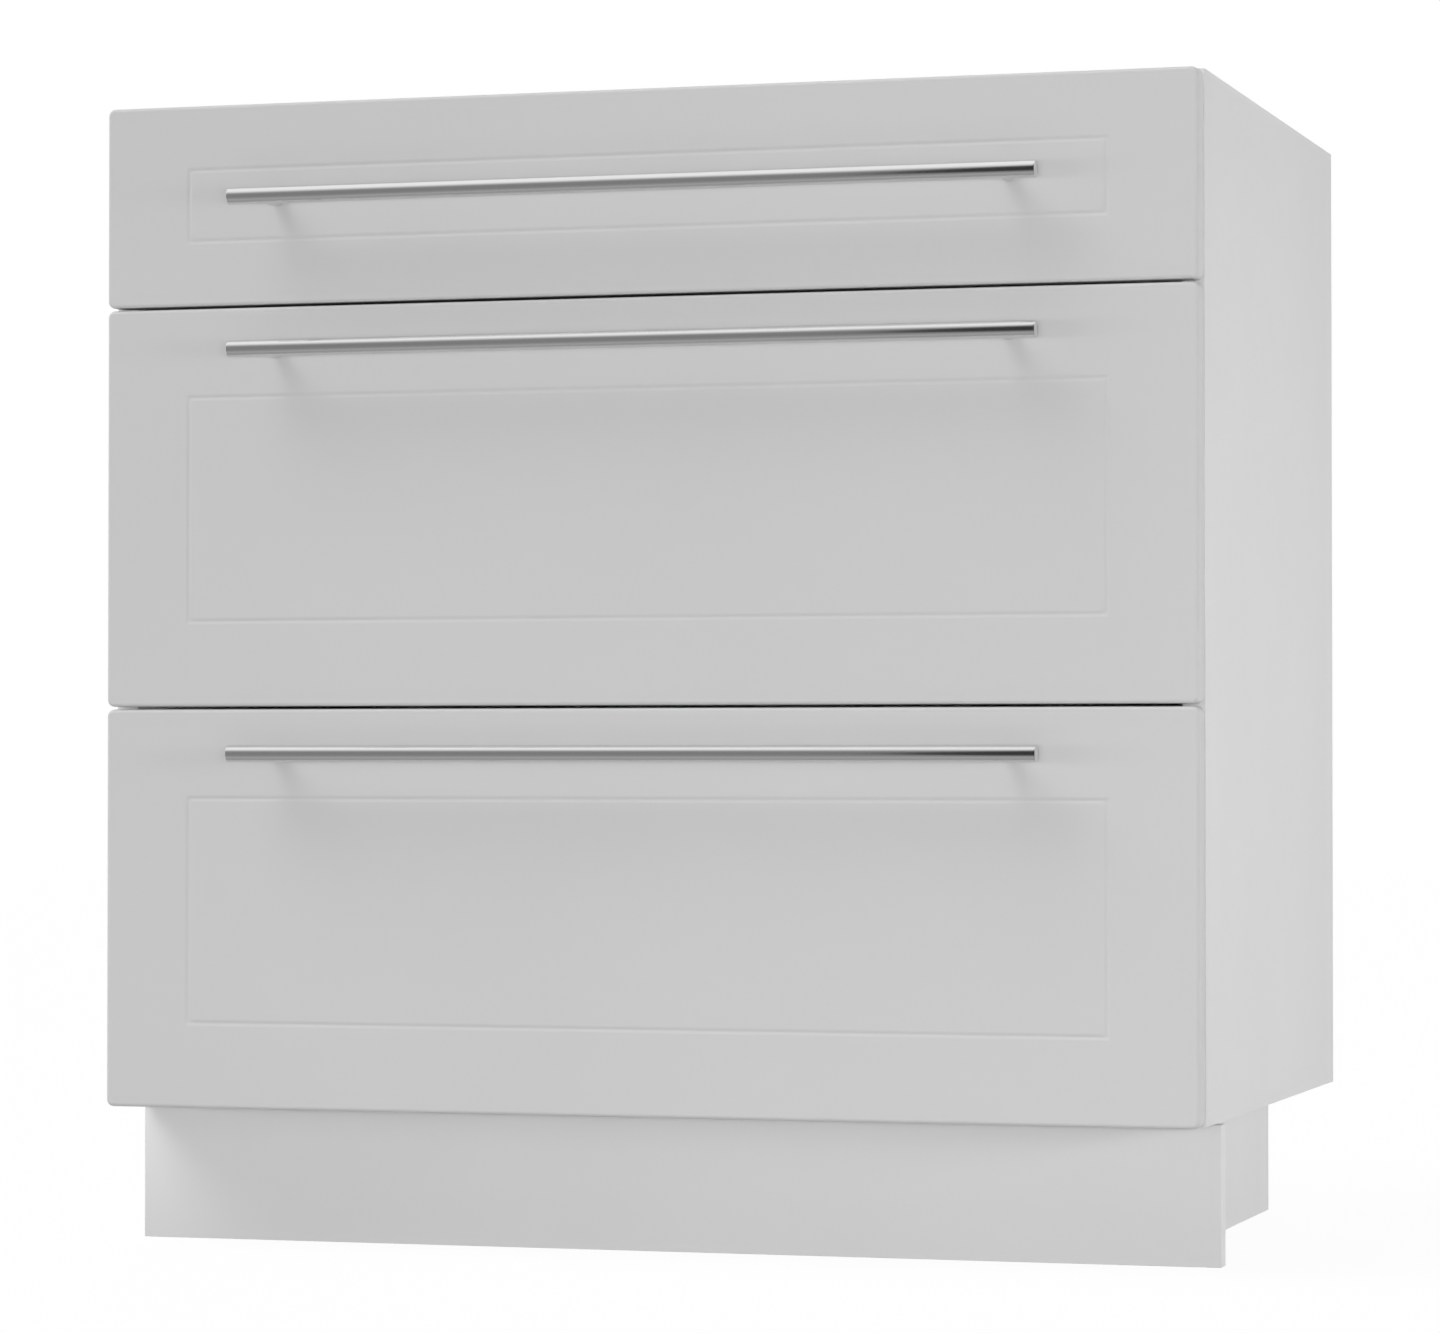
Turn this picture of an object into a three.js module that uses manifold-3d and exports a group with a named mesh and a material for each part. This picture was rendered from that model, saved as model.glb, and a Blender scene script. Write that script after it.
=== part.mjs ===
// Kitchen base cabinet, 800 mm wide, with three full-extension drawers.
//
// The carcass is laminated chipboard: two side panels, a bottom, two top rails and a thin back panel
// let into grooves. It stands on four plastic legs with screw feet, hidden by a plinth of three boards.
// Each drawer is a board box on a pair of ball-bearing telescopic runners, behind a moulded front with
// a round bar handle.
//
// Millimetres, +Z up, front towards -Y. The origin is on the floor, under the middle of the overall box.
// Inside the cabinet group, y = 0 is the plane of the carcass's front edges.

import * as THREE from "three";
import { mergeVertices } from "three/addons/utils/BufferGeometryUtils.js";
import Module from "manifold-3d";

// ---------------------------------------------------------------- driving sizes

// Carcass
const CABINET_WIDTH = 800;
const CARCASS_HEIGHT = 720;
const CARCASS_DEPTH = 508; // side panel, front edge to rear edge
const BOARD = 16; // laminated chipboard, all carcass and plinth boards
const RAIL_WIDTH = 100; // top rails, measured front to back
const BACK_THICKNESS = 3;
const BACK_INSET = 15; // from the side panels' rear edges to the back panel
const BACK_GROOVE_DEPTH = 8;
const BACK_GROOVE_PLAY = 0.25; // each way, round the back panel in its grooves

// Plinth, legs and feet
const PLINTH_HEIGHT = 100; // floor to underside of the carcass
const PLINTH_TOP_GAP = 2; // over the plinth boards
const PLINTH_SETBACK = 52; // plinth front, behind the carcass's front edge
const PLINTH_SIDE_INSET = 50; // plinth sides, in from the side panels
const PLINTH_REAR_GAP = 5; // plinth sides, short of the side panels' rear edges
const LEG_TO_BOARD = 35; // leg axis to the back of the plinth boards round it
const REAR_LEG_INSET = 55; // rear leg axis, in from the rear edges
const LEG_PLATE_RADIUS = 30;
const LEG_PLATE_THICKNESS = 5;
const LEG_RADIUS = 15;
const LEG_COLLAR_RADIUS = 17;
const LEG_COLLAR_HEIGHT = 8;
const LEG_BORE_RADIUS = 11.5;
const LEG_BORE_DEPTH = 60;
const LEG_END_HEIGHT = 24; // lower end of the leg, over the floor
const FOOT_RADIUS = 25;
const FOOT_RIM = 4; // height of the foot's straight rim
const FOOT_CONE = 12; // height where the foot's cone meets the stem
const FOOT_STEM_RADIUS = 11;
const FOOT_STEM_TOP = 66; // over the floor, inside the leg
const CLIP_THICKNESS = 3;
const CLIP_HEIGHT = 14;
const CLIP_PAD_WIDTH = 40;
const CLIP_ARM_WIDTH = 12;
const FRONT_CLIP_Z = 56; // middle of the clips that hold the plinth front
const SIDE_CLIP_Z = 40; // middle of the clips that hold the plinth sides
const CLIP_PLAY = 0.25; // clip pad to plinth board

// Drawer fronts
const TOP_FRONT_HEIGHT = 144;
const FRONT_THICKNESS = 18;
const FRONT_GAP = 2; // between neighbouring fronts
const FRONT_TOP_REVEAL = 1; // top front, below the top of the carcass
const FRONT_SIDE_REVEAL = 0.5; // fronts, in from the side panels' outer faces
const BUMPER_GAP = 2; // fronts, ahead of the carcass when shut
const FRONT_CORNER_RADIUS = 5;
const FRONT_EDGE_RADIUS = 2.5;
const FRONT_BACK_CHAMFER = 0.5;

// Groove milled round each front's middle panel
const GROOVE_WIDTH = 6.5;
const GROOVE_DEPTH = 1;
const GROOVE_SKEW = 1.6; // over 1, the slope is steepest near the groove's middle
const GROOVE_SIDE_INSET = 60.2; // front's side edge to the groove's outer edge
const DEEP_GROOVE_TOP_INSET = 60.7; // the same from the top edge, on the deep fronts
const DEEP_GROOVE_BOTTOM_INSET = 57.8;
const TOP_GROOVE_END_INSET = 43.2; // top and bottom edges, on the shallow front
const GROOVE_OUTER_CORNER = 0.5; // the outer line turns a nearly sharp corner
const GROOVE_INNER_CORNER = 4.5; // the middle panel has rounded corners

// Bar handles
const HANDLE_SPACING = 536; // between the posts
const HANDLE_OVERHANG = 26; // bar, past each post's axis
const HANDLE_BAR_RADIUS = 6;
const HANDLE_BAR_CHAMFER = 0.5;
const HANDLE_POST_RADIUS = 5;
const HANDLE_PROJECTION = 35; // front's face to the outermost line of the bar
const TOP_HANDLE_DROP = 69.5; // front's top edge to the bar, on the shallow front
const DEEP_HANDLE_DROP = 32; // the same on the deep fronts

// Drawer boxes
const BOX_BOARD = 16;
const TOP_BOX_HEIGHT = 86;
const DEEP_BOX_HEIGHT = 200;
const BOX_RISE = 30; // bottom of the box, over the front's bottom edge
const DRAWER_BOTTOM_THICKNESS = 10;
const DRAWER_BOTTOM_RISE = 12; // under the drawer bottom, within the box's sides
const DRAWER_GROOVE_DEPTH = 8;
const DRAWER_GROOVE_PLAY = 0.25;

// Telescopic runners: x runs from the cabinet wall (0) to the drawer side (RUNNER_THICKNESS)
const RUNNER_THICKNESS = 13;
const RUNNER_SETBACK = 3; // behind the carcass's front edge
const RUNNER_REAR_GAP = 37; // runners' rear ends to the back panel
const RUNNER_RISE = 35; // middle of the runner, over the bottom of the box
const RUNNER_STEEL = 1.25;
const RUNNER_BEND = 1.25; // radius of the bends, on the sheet's middle line
const CABINET_MEMBER_HEIGHT = 45;
const CABINET_MEMBER_DEPTH = 10;
const BALL_DIAMETER = 4;
const BALL_PLAY = 0.25; // ball to each race
const INTERMEDIATE_MEMBER_INSET = 2.25; // its web, off the cabinet wall
const INTERMEDIATE_MEMBER_DEPTH = 9;
const MEMBER_LIP = 4; // turned-in edge of the cabinet and intermediate members
const DRAWER_MEMBER_DEPTH = 8;
const SCREW_HOLE_RADIUS = 2.25;
const SCREW_HOLE_MARGIN = 37; // first and last holes, from the runner's ends

// Ball cages between the cabinet and intermediate members
const CAGE_LENGTH = 140;
const CAGE_STEEL = 0.5;
const CAGE_BALLS = 4; // in each of the two rows
const CAGE_BALL_MARGIN = 12; // first and last balls, from the cage's ends

// Facets
const CORNER_STEPS = 4;
const EDGE_STEPS = 3;
const GROOVE_STEPS = 8;
const BEND_STEPS = 2;
const BAR_SIDES = 24;
const POST_SIDES = 20;
const LEG_SIDES = 20;
const HOLE_SIDES = 8;
const BALL_SIDES = 6;

// ---------------------------------------------------------------- derived sizes

const HALF_WIDTH = CABINET_WIDTH / 2;
const INNER_HALF_WIDTH = HALF_WIDTH - BOARD;
const CARCASS_TOP = PLINTH_HEIGHT + CARCASS_HEIGHT;
const BACK_FRONT_Y = CARCASS_DEPTH - BACK_INSET - BACK_THICKNESS;
const PLINTH_BACK_Y = PLINTH_SETBACK + BOARD;
const PLINTH_SIDE_X = HALF_WIDTH - PLINTH_SIDE_INSET;
const DEEP_FRONT_HEIGHT = (CARCASS_HEIGHT - FRONT_TOP_REVEAL - TOP_FRONT_HEIGHT - 2 * FRONT_GAP) / 2;
const FRONT_WIDTH = CABINET_WIDTH - 2 * FRONT_SIDE_REVEAL;
const FRONTMOST_Y = -(BUMPER_GAP + FRONT_THICKNESS + HANDLE_PROJECTION);
const BOX_HALF_WIDTH = INNER_HALF_WIDTH - RUNNER_THICKNESS;
const RUNNER_LENGTH = BACK_FRONT_Y - RUNNER_SETBACK - RUNNER_REAR_GAP;
const BOX_REAR_Y = RUNNER_SETBACK + RUNNER_LENGTH; // flush with the runners' rear ends
const RACE = BALL_DIAMETER + 2 * BALL_PLAY; // clear height between two members
const INTERMEDIATE_MEMBER_HEIGHT = CABINET_MEMBER_HEIGHT - 2 * (RUNNER_STEEL + RACE);
const DRAWER_MEMBER_HEIGHT = INTERMEDIATE_MEMBER_HEIGHT - 2 * (RUNNER_STEEL + RACE);

// ---------------------------------------------------------------- materials

const finish = (color, roughness, metalness = 0) => new THREE.MeshStandardMaterial({ color, roughness, metalness });
const FRONT_FILM = () => finish(0xd9d9d9, 0.42);
const LAMINATE = () => finish(0xe0e0e0, 0.5);
const HARDBOARD = () => finish(0xdcdcda, 0.6);
const HANDLE_STEEL = () => finish(0xb8b8b6, 0.28, 1);
const RUNNER_ZINC = () => finish(0xa9adb0, 0.35, 1);
const LEG_PLASTIC = () => finish(0x202022, 0.55);

// ---------------------------------------------------------------- geometry helpers

const wasm = await Module();
wasm.setup();

function mesh(name, geometry, material) {
  const made = new THREE.Mesh(geometry, material);
  made.name = name;
  return made;
}

// A board between two corners. The corners are written as given, so that neighbours meet exactly.
function slab([x0, x1], [y0, y1], [z0, z1]) {
  const geometry = new THREE.BoxGeometry(1, 1, 1);
  const p = geometry.attributes.position;
  for (let i = 0; i < p.count; i++) {
    p.setXYZ(i, p.getX(i) < 0 ? x0 : x1, p.getY(i) < 0 ? y0 : y1, p.getZ(i) < 0 ? z0 : z1);
  }
  return geometry;
}

function shapeOf(points) {
  return new THREE.Shape(points.map(([a, b]) => new THREE.Vector2(a, b)));
}

// An outline in x and y, drawn up from z0 to z1.
function extrudeUp(points, z0, z1) {
  return new THREE.ExtrudeGeometry(shapeOf(points), { depth: z1 - z0, bevelEnabled: false }).translate(0, 0, z0);
}

// An outline in x and z, drawn back from y0 to y1.
function extrudeBack(points, y0, y1) {
  const geometry = new THREE.ExtrudeGeometry(shapeOf(points), { depth: y1 - y0, bevelEnabled: false });
  const p = geometry.attributes.position;
  for (let i = 0; i < p.count; i++) {
    p.setXYZ(i, p.getX(i), p.getZ(i) > 0 ? y0 : y1, p.getY(i));
  }
  return geometry;
}

// A turned piece: [radius, height] points about the z axis.
function turned(points, sides) {
  return new THREE.LatheGeometry(points.map(([r, z]) => new THREE.Vector2(r, z)), sides).rotateX(Math.PI / 2);
}

function solidOf(geometry) {
  const bare = geometry.clone();
  bare.deleteAttribute("normal");
  bare.deleteAttribute("uv");
  const merged = mergeVertices(bare);
  const { array } = merged.attributes.position;
  return new wasm.Manifold(
    new wasm.Mesh({ numProp: 3, vertProperties: array, triVerts: new Uint32Array(merged.index.array) }),
  );
}

function geometryOf(solid) {
  const { vertProperties, triVerts } = solid.getMesh();
  return new THREE.BufferGeometry()
    .setAttribute("position", new THREE.BufferAttribute(vertProperties, 3))
    .setIndex(new THREE.BufferAttribute(triVerts, 1));
}

function join(geometries) {
  return geometryOf(geometries.map(solidOf).reduce((a, b) => a.add(b)));
}

function cut(geometry, cutters) {
  return geometryOf(cutters.map(solidOf).reduce((a, b) => a.subtract(b), solidOf(geometry)));
}

// Rounds the inner corners of an open line of [a, b] points.
function bendLine(points, radius) {
  const line = points.map(([a, b]) => new THREE.Vector2(a, b));
  const out = [line[0]];
  for (let i = 1; i < line.length - 1; i++) {
    const before = line[i - 1].clone().sub(line[i]).setLength(radius).add(line[i]);
    const after = line[i + 1].clone().sub(line[i]).setLength(radius).add(line[i]);
    const curve = new THREE.QuadraticBezierCurve(before, line[i], after);
    out.push(...curve.getPoints(BEND_STEPS));
  }
  out.push(line[line.length - 1]);
  return out;
}

// The outline of bent sheet of one thickness along a middle line.
function sheetOutline(points, thickness, radius) {
  const line = bendLine(points, radius);
  const offset = (side) =>
    line.map((point, i) => {
      const into = point.clone().sub(line[Math.max(i - 1, 0)]).normalize();
      const out = line[Math.min(i + 1, line.length - 1)].clone().sub(point).normalize();
      const along = into.clone().add(out).normalize();
      const reach = thickness / 2 / Math.max(along.dot(i ? into : out), 0.5);
      return [point.x - along.y * side * reach, point.y + along.x * side * reach];
    });
  return [...offset(1), ...offset(-1).reverse()];
}

// A rounded rectangle in x and z about the origin, as a ring of points at depth y.
function rectangleRing({ halfWidth, halfHeight, radius, y, z }) {
  const corners = [[1, 1, 0], [-1, 1, 1], [-1, -1, 2], [1, -1, 3]];
  return corners.flatMap(([sx, sz, turn]) =>
    Array.from({ length: CORNER_STEPS + 1 }, (_, i) => {
      const angle = ((turn + i / CORNER_STEPS) * Math.PI) / 2;
      return [
        sx * (halfWidth - radius) + radius * Math.cos(angle),
        y,
        z + sz * (halfHeight - radius) + radius * Math.sin(angle),
      ];
    }),
  );
}

// A closed solid skinned over a stack of rings, from the rear ring to the front one, with flat ends.
function ringStack(rings) {
  const count = rings[0].length;
  const centre = (ring) => [0, ring[0][1], 0];
  const points = [...rings.flat(), centre(rings[0]), centre(rings[rings.length - 1])];
  const rearCentre = points.length - 2;
  const frontCentre = points.length - 1;
  const lastRing = (rings.length - 1) * count;
  const faces = [];
  for (let i = 0; i < count; i++) {
    const next = (i + 1) % count;
    for (let base = 0; base < lastRing; base += count) {
      faces.push(base + i, base + next, base + count + i);
      faces.push(base + next, base + count + next, base + count + i);
    }
    faces.push(rearCentre, next, i);
    faces.push(frontCentre, lastRing + i, lastRing + next);
  }
  return new THREE.BufferGeometry()
    .setAttribute("position", new THREE.BufferAttribute(new Float32Array(points.flat()), 3))
    .setIndex(faces);
}

// ---------------------------------------------------------------- carcass

const SIDES = [["left", -1], ["right", 1]];

// A side panel with the groove for the back panel. It is drawn for the right side.
function sidePanelGeometry() {
  const grooveX = INNER_HALF_WIDTH + BACK_GROOVE_DEPTH;
  const grooveFront = BACK_FRONT_Y - BACK_GROOVE_PLAY;
  const grooveRear = BACK_FRONT_Y + BACK_THICKNESS + BACK_GROOVE_PLAY;
  const outline = [
    [INNER_HALF_WIDTH, 0],
    [HALF_WIDTH, 0],
    [HALF_WIDTH, CARCASS_DEPTH],
    [INNER_HALF_WIDTH, CARCASS_DEPTH],
    [INNER_HALF_WIDTH, grooveRear],
    [grooveX, grooveRear],
    [grooveX, grooveFront],
    [INNER_HALF_WIDTH, grooveFront],
  ];
  return extrudeUp(outline, PLINTH_HEIGHT, CARCASS_TOP);
}

function makeCarcass() {
  const carcass = new THREE.Group();
  for (const [side, sign] of SIDES) {
    const panel = mesh(`side_panel_${side}`, sidePanelGeometry(), LAMINATE());
    panel.scale.x = sign;
    carcass.add(panel);
  }
  const across = [-INNER_HALF_WIDTH, INNER_HALF_WIDTH];
  const railHeight = [CARCASS_TOP - BOARD, CARCASS_TOP];
  const backReach = INNER_HALF_WIDTH + BACK_GROOVE_DEPTH - BACK_GROOVE_PLAY;
  const bottom = slab(across, [0, BACK_FRONT_Y], [PLINTH_HEIGHT, PLINTH_HEIGHT + BOARD]);
  const frontRail = slab(across, [0, RAIL_WIDTH], railHeight);
  const rearRail = slab(across, [BACK_FRONT_Y - RAIL_WIDTH, BACK_FRONT_Y], railHeight);
  const backDepth = [BACK_FRONT_Y, BACK_FRONT_Y + BACK_THICKNESS];
  const back = slab([-backReach, backReach], backDepth, [PLINTH_HEIGHT, CARCASS_TOP]);
  carcass.add(mesh("bottom_panel", bottom, LAMINATE()));
  carcass.add(mesh("front_rail", frontRail, LAMINATE()));
  carcass.add(mesh("rear_rail", rearRail, LAMINATE()));
  carcass.add(mesh("back_panel", back, HARDBOARD()));
  return carcass;
}

// ---------------------------------------------------------------- plinth, legs and feet

function makePlinth() {
  const plinth = new THREE.Group();
  const height = [0, PLINTH_HEIGHT - PLINTH_TOP_GAP];
  const front = slab([-HALF_WIDTH, HALF_WIDTH], [PLINTH_SETBACK, PLINTH_BACK_Y], height);
  plinth.add(mesh("plinth_front", front, LAMINATE()));
  const depth = [PLINTH_BACK_Y, CARCASS_DEPTH - PLINTH_REAR_GAP];
  for (const [side, sign] of SIDES) {
    const board = mesh(`plinth_${side}`, slab([PLINTH_SIDE_X - BOARD, PLINTH_SIDE_X], depth, height), LAMINATE());
    board.scale.x = sign;
    plinth.add(board);
  }
  return plinth;
}

// The part of a leg that carries load: a plate under the carcass, a tapered neck, a tube open at its
// lower end for the foot's stem, and a collar round that end. Heights are over the floor.
function legBody() {
  const plateUnder = PLINTH_HEIGHT - LEG_PLATE_THICKNESS;
  const neck = LEG_PLATE_RADIUS - LEG_RADIUS;
  return turned(
    [
      [0, LEG_END_HEIGHT + LEG_BORE_DEPTH],
      [LEG_BORE_RADIUS, LEG_END_HEIGHT + LEG_BORE_DEPTH],
      [LEG_BORE_RADIUS, LEG_END_HEIGHT],
      [LEG_COLLAR_RADIUS, LEG_END_HEIGHT],
      [LEG_COLLAR_RADIUS, LEG_END_HEIGHT + LEG_COLLAR_HEIGHT],
      [LEG_RADIUS, LEG_END_HEIGHT + LEG_COLLAR_HEIGHT + 1],
      [LEG_RADIUS, plateUnder - neck / 2],
      [LEG_PLATE_RADIUS - neck / 2, plateUnder],
      [LEG_PLATE_RADIUS, plateUnder],
      [LEG_PLATE_RADIUS, PLINTH_HEIGHT],
      [0, PLINTH_HEIGHT],
    ],
    LEG_SIDES,
  );
}

// A clip snapped round the leg: a ring, an arm, and a pad behind the plinth board. It reaches along -y.
function clip(middleZ) {
  const height = [middleZ - CLIP_HEIGHT / 2, middleZ + CLIP_HEIGHT / 2];
  const padFront = -(LEG_TO_BOARD - CLIP_PLAY);
  const padRear = padFront + CLIP_THICKNESS;
  const ring = turned(
    [
      [LEG_RADIUS - 1, height[0]],
      [LEG_RADIUS + CLIP_THICKNESS, height[0]],
      [LEG_RADIUS + CLIP_THICKNESS, height[1]],
      [LEG_RADIUS - 1, height[1]],
      [LEG_RADIUS - 1, height[0]],
    ],
    LEG_SIDES,
  );
  const arm = slab([-CLIP_ARM_WIDTH / 2, CLIP_ARM_WIDTH / 2], [padRear - 1, -LEG_RADIUS - 1], height);
  const pad = slab([-CLIP_PAD_WIDTH / 2, CLIP_PAD_WIDTH / 2], [padFront, padRear], height);
  return [ring, arm, pad];
}

const footGeometry = () =>
  turned(
    [
      [0, 0],
      [FOOT_RADIUS - 1, 0],
      [FOOT_RADIUS, 1],
      [FOOT_RADIUS, FOOT_RIM],
      [FOOT_STEM_RADIUS, FOOT_CONE],
      [FOOT_STEM_RADIUS, FOOT_STEM_TOP],
      [0, FOOT_STEM_TOP],
    ],
    LEG_SIDES,
  );

// A leg on the right side of the cabinet: a front leg holds the plinth front and a plinth side, and a
// rear leg holds a plinth side.
function legGeometry(isFront) {
  const towardsSide = clip(SIDE_CLIP_Z).map((piece) => piece.rotateZ(Math.PI / 2));
  return join([legBody(), ...towardsSide, ...(isFront ? clip(FRONT_CLIP_Z) : [])]);
}

function makeLegs() {
  const legs = new THREE.Group();
  const legX = PLINTH_SIDE_X - BOARD - LEG_TO_BOARD;
  const rows = [["front", PLINTH_BACK_Y + LEG_TO_BOARD], ["rear", CARCASS_DEPTH - REAR_LEG_INSET]];
  for (const [row, y] of rows) {
    for (const [side, sign] of SIDES) {
      const leg = mesh(`leg_${row}_${side}`, legGeometry(row === "front"), LEG_PLASTIC());
      const foot = mesh(`foot_${row}_${side}`, footGeometry(), LEG_PLASTIC());
      const corner = new THREE.Group();
      corner.position.set(sign * legX, y, 0);
      corner.scale.x = sign;
      corner.add(leg, foot);
      legs.add(corner);
    }
  }
  return legs;
}

// ---------------------------------------------------------------- telescopic runners

// Middle line of a channel whose web stands at webX. Its edges turn in where it has a lip.
function channelLine(webX, depth, height, lip) {
  const towards = Math.sign(depth);
  const web = webX + (towards * RUNNER_STEEL) / 2;
  const edge = webX + depth - (towards * RUNNER_STEEL) / 2;
  const flange = (height - RUNNER_STEEL) / 2;
  const end = flange + RUNNER_STEEL / 2 - lip;
  const upper = lip ? [[edge, end], [edge, flange], [web, flange]] : [[edge, flange], [web, flange]];
  const lower = upper.map(([x, z]) => [x, -z]).reverse();
  return [...upper, ...lower];
}

function memberGeometry(line) {
  return extrudeBack(sheetOutline(line, RUNNER_STEEL, RUNNER_BEND), 0, RUNNER_LENGTH);
}

// Three screw holes through a member's web, which stands between x0 and x1.
function drillWeb(geometry, x0, x1) {
  const holes = [SCREW_HOLE_MARGIN, RUNNER_LENGTH / 2, RUNNER_LENGTH - SCREW_HOLE_MARGIN].map((y) =>
    new THREE.CylinderGeometry(SCREW_HOLE_RADIUS, SCREW_HOLE_RADIUS, x1 - x0 + 2, HOLE_SIDES)
      .rotateZ(Math.PI / 2)
      .translate((x0 + x1) / 2, y, 0),
  );
  return cut(geometry, holes);
}

function cabinetMember() {
  const line = channelLine(0, CABINET_MEMBER_DEPTH, CABINET_MEMBER_HEIGHT, MEMBER_LIP);
  return drillWeb(memberGeometry(line), 0, RUNNER_STEEL);
}

function intermediateMember() {
  return memberGeometry(channelLine(INTERMEDIATE_MEMBER_INSET, INTERMEDIATE_MEMBER_DEPTH, INTERMEDIATE_MEMBER_HEIGHT, MEMBER_LIP));
}

function drawerMember() {
  const line = channelLine(RUNNER_THICKNESS, -DRAWER_MEMBER_DEPTH, DRAWER_MEMBER_HEIGHT, 0);
  return drillWeb(memberGeometry(line), RUNNER_THICKNESS - RUNNER_STEEL, RUNNER_THICKNESS);
}

// A cage of thin steel bent round the intermediate member, with a row of balls caught in each flange.
// It is centred on the runner's length.
function ballCage() {
  const ballZ = (INTERMEDIATE_MEMBER_HEIGHT + RACE) / 2;
  const ballX = CABINET_MEMBER_DEPTH - RUNNER_STEEL - BALL_PLAY - BALL_DIAMETER / 2;
  const web = (RUNNER_STEEL + INTERMEDIATE_MEMBER_INSET) / 2;
  const edge = ballX + BALL_DIAMETER / 4;
  const line = [[edge, ballZ], [web, ballZ], [web, -ballZ], [edge, -ballZ]];
  const y0 = (RUNNER_LENGTH - CAGE_LENGTH) / 2;
  const sheet = extrudeBack(sheetOutline(line, CAGE_STEEL, RUNNER_STEEL / 2), y0, y0 + CAGE_LENGTH);
  const pitch = (CAGE_LENGTH - 2 * CAGE_BALL_MARGIN) / (CAGE_BALLS - 1);
  const balls = [];
  for (const z of [-ballZ, ballZ]) {
    for (let i = 0; i < CAGE_BALLS; i++) {
      const ball = new THREE.SphereGeometry(BALL_DIAMETER / 2, BALL_SIDES, BALL_SIDES - 1);
      balls.push(ball.translate(ballX, y0 + CAGE_BALL_MARGIN + i * pitch, z));
    }
  }
  return join([sheet, ...balls]);
}

// The pieces of a drawer's two runners that aren't on the drawer. They are drawn for the right side.
function makeRunners(drawer, runnerZ) {
  const runners = new THREE.Group();
  for (const [side, sign] of SIDES) {
    const runner = new THREE.Group();
    runner.position.set(sign * INNER_HALF_WIDTH, RUNNER_SETBACK, runnerZ);
    runner.scale.x = -sign;
    runner.add(mesh(`${drawer}_runner_cabinet_member_${side}`, cabinetMember(), RUNNER_ZINC()));
    runner.add(mesh(`${drawer}_runner_intermediate_member_${side}`, intermediateMember(), RUNNER_ZINC()));
    runner.add(mesh(`${drawer}_runner_ball_cage_${side}`, ballCage(), RUNNER_ZINC()));
    runners.add(runner);
  }
  return runners;
}

// ---------------------------------------------------------------- drawers

// Depth of a front's groove at a share of its width: soft lips and a narrow rounded bottom.
function grooveDepth(share) {
  const fromLip = 1 - Math.abs(2 * share - 1);
  return GROOVE_DEPTH * (0.5 - 0.5 * Math.cos(Math.PI * fromLip ** GROOVE_SKEW));
}

// A front centred on x and z, with its back face at y = 0: rounded edges and corners, and a shallow
// groove milled round the middle panel.
function frontGeometry(height, grooveInset) {
  const ring = (side, top, bottom, radius, y) => ({
    halfWidth: FRONT_WIDTH / 2 - side,
    halfHeight: (height - top - bottom) / 2,
    radius,
    y,
    z: (bottom - top) / 2,
  });
  const body = (inset, y) => ring(inset, inset, inset, Math.max(FRONT_CORNER_RADIUS - inset, 0.25), y);
  const rings = [body(FRONT_BACK_CHAMFER, 0), body(0, -FRONT_BACK_CHAMFER)];
  for (let i = 0; i <= EDGE_STEPS; i++) {
    const angle = (i / EDGE_STEPS) * (Math.PI / 2);
    const rise = FRONT_EDGE_RADIUS * (1 - Math.sin(angle));
    rings.push(body(FRONT_EDGE_RADIUS * (1 - Math.cos(angle)), rise - FRONT_THICKNESS));
  }
  for (let i = 0; i <= GROOVE_STEPS; i++) {
    const share = i / GROOVE_STEPS;
    const inset = GROOVE_WIDTH * share;
    const { top, bottom } = grooveInset;
    const radius = GROOVE_OUTER_CORNER + (GROOVE_INNER_CORNER - GROOVE_OUTER_CORNER) * share;
    const y = grooveDepth(share) - FRONT_THICKNESS;
    rings.push(ring(GROOVE_SIDE_INSET + inset, top + inset, bottom + inset, radius, y));
  }
  return ringStack(rings.map(rectangleRing));
}

// A bar on two posts, standing off y = 0 towards -y.
function handleGeometry() {
  const barY = -(HANDLE_PROJECTION - HANDLE_BAR_RADIUS);
  const end = HANDLE_SPACING / 2 + HANDLE_OVERHANG;
  const bar = turned(
    [
      [0, -end],
      [HANDLE_BAR_RADIUS - HANDLE_BAR_CHAMFER, -end],
      [HANDLE_BAR_RADIUS, HANDLE_BAR_CHAMFER - end],
      [HANDLE_BAR_RADIUS, end - HANDLE_BAR_CHAMFER],
      [HANDLE_BAR_RADIUS - HANDLE_BAR_CHAMFER, end],
      [0, end],
    ],
    BAR_SIDES,
  )
    .rotateY(Math.PI / 2)
    .translate(0, barY, 0);
  const posts = [-1, 1].map((sign) =>
    new THREE.CylinderGeometry(HANDLE_POST_RADIUS, HANDLE_POST_RADIUS, -barY, POST_SIDES).translate(
      (sign * HANDLE_SPACING) / 2,
      barY / 2,
      0,
    ),
  );
  return join([bar, ...posts]);
}

// A box side, with the groove that holds the drawer bottom. It is drawn for the right side.
function boxSideGeometry(boxHeight) {
  const inner = BOX_HALF_WIDTH - BOX_BOARD;
  const grooveX = inner + DRAWER_GROOVE_DEPTH;
  const top = BOX_RISE + boxHeight;
  const grooveLow = BOX_RISE + DRAWER_BOTTOM_RISE - DRAWER_GROOVE_PLAY;
  const grooveHigh = BOX_RISE + DRAWER_BOTTOM_RISE + DRAWER_BOTTOM_THICKNESS + DRAWER_GROOVE_PLAY;
  const outline = [
    [inner, BOX_RISE],
    [BOX_HALF_WIDTH, BOX_RISE],
    [BOX_HALF_WIDTH, top],
    [inner, top],
    [inner, grooveHigh],
    [grooveX, grooveHigh],
    [grooveX, grooveLow],
    [inner, grooveLow],
  ];
  return extrudeBack(outline, -BUMPER_GAP, BOX_REAR_Y);
}

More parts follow.
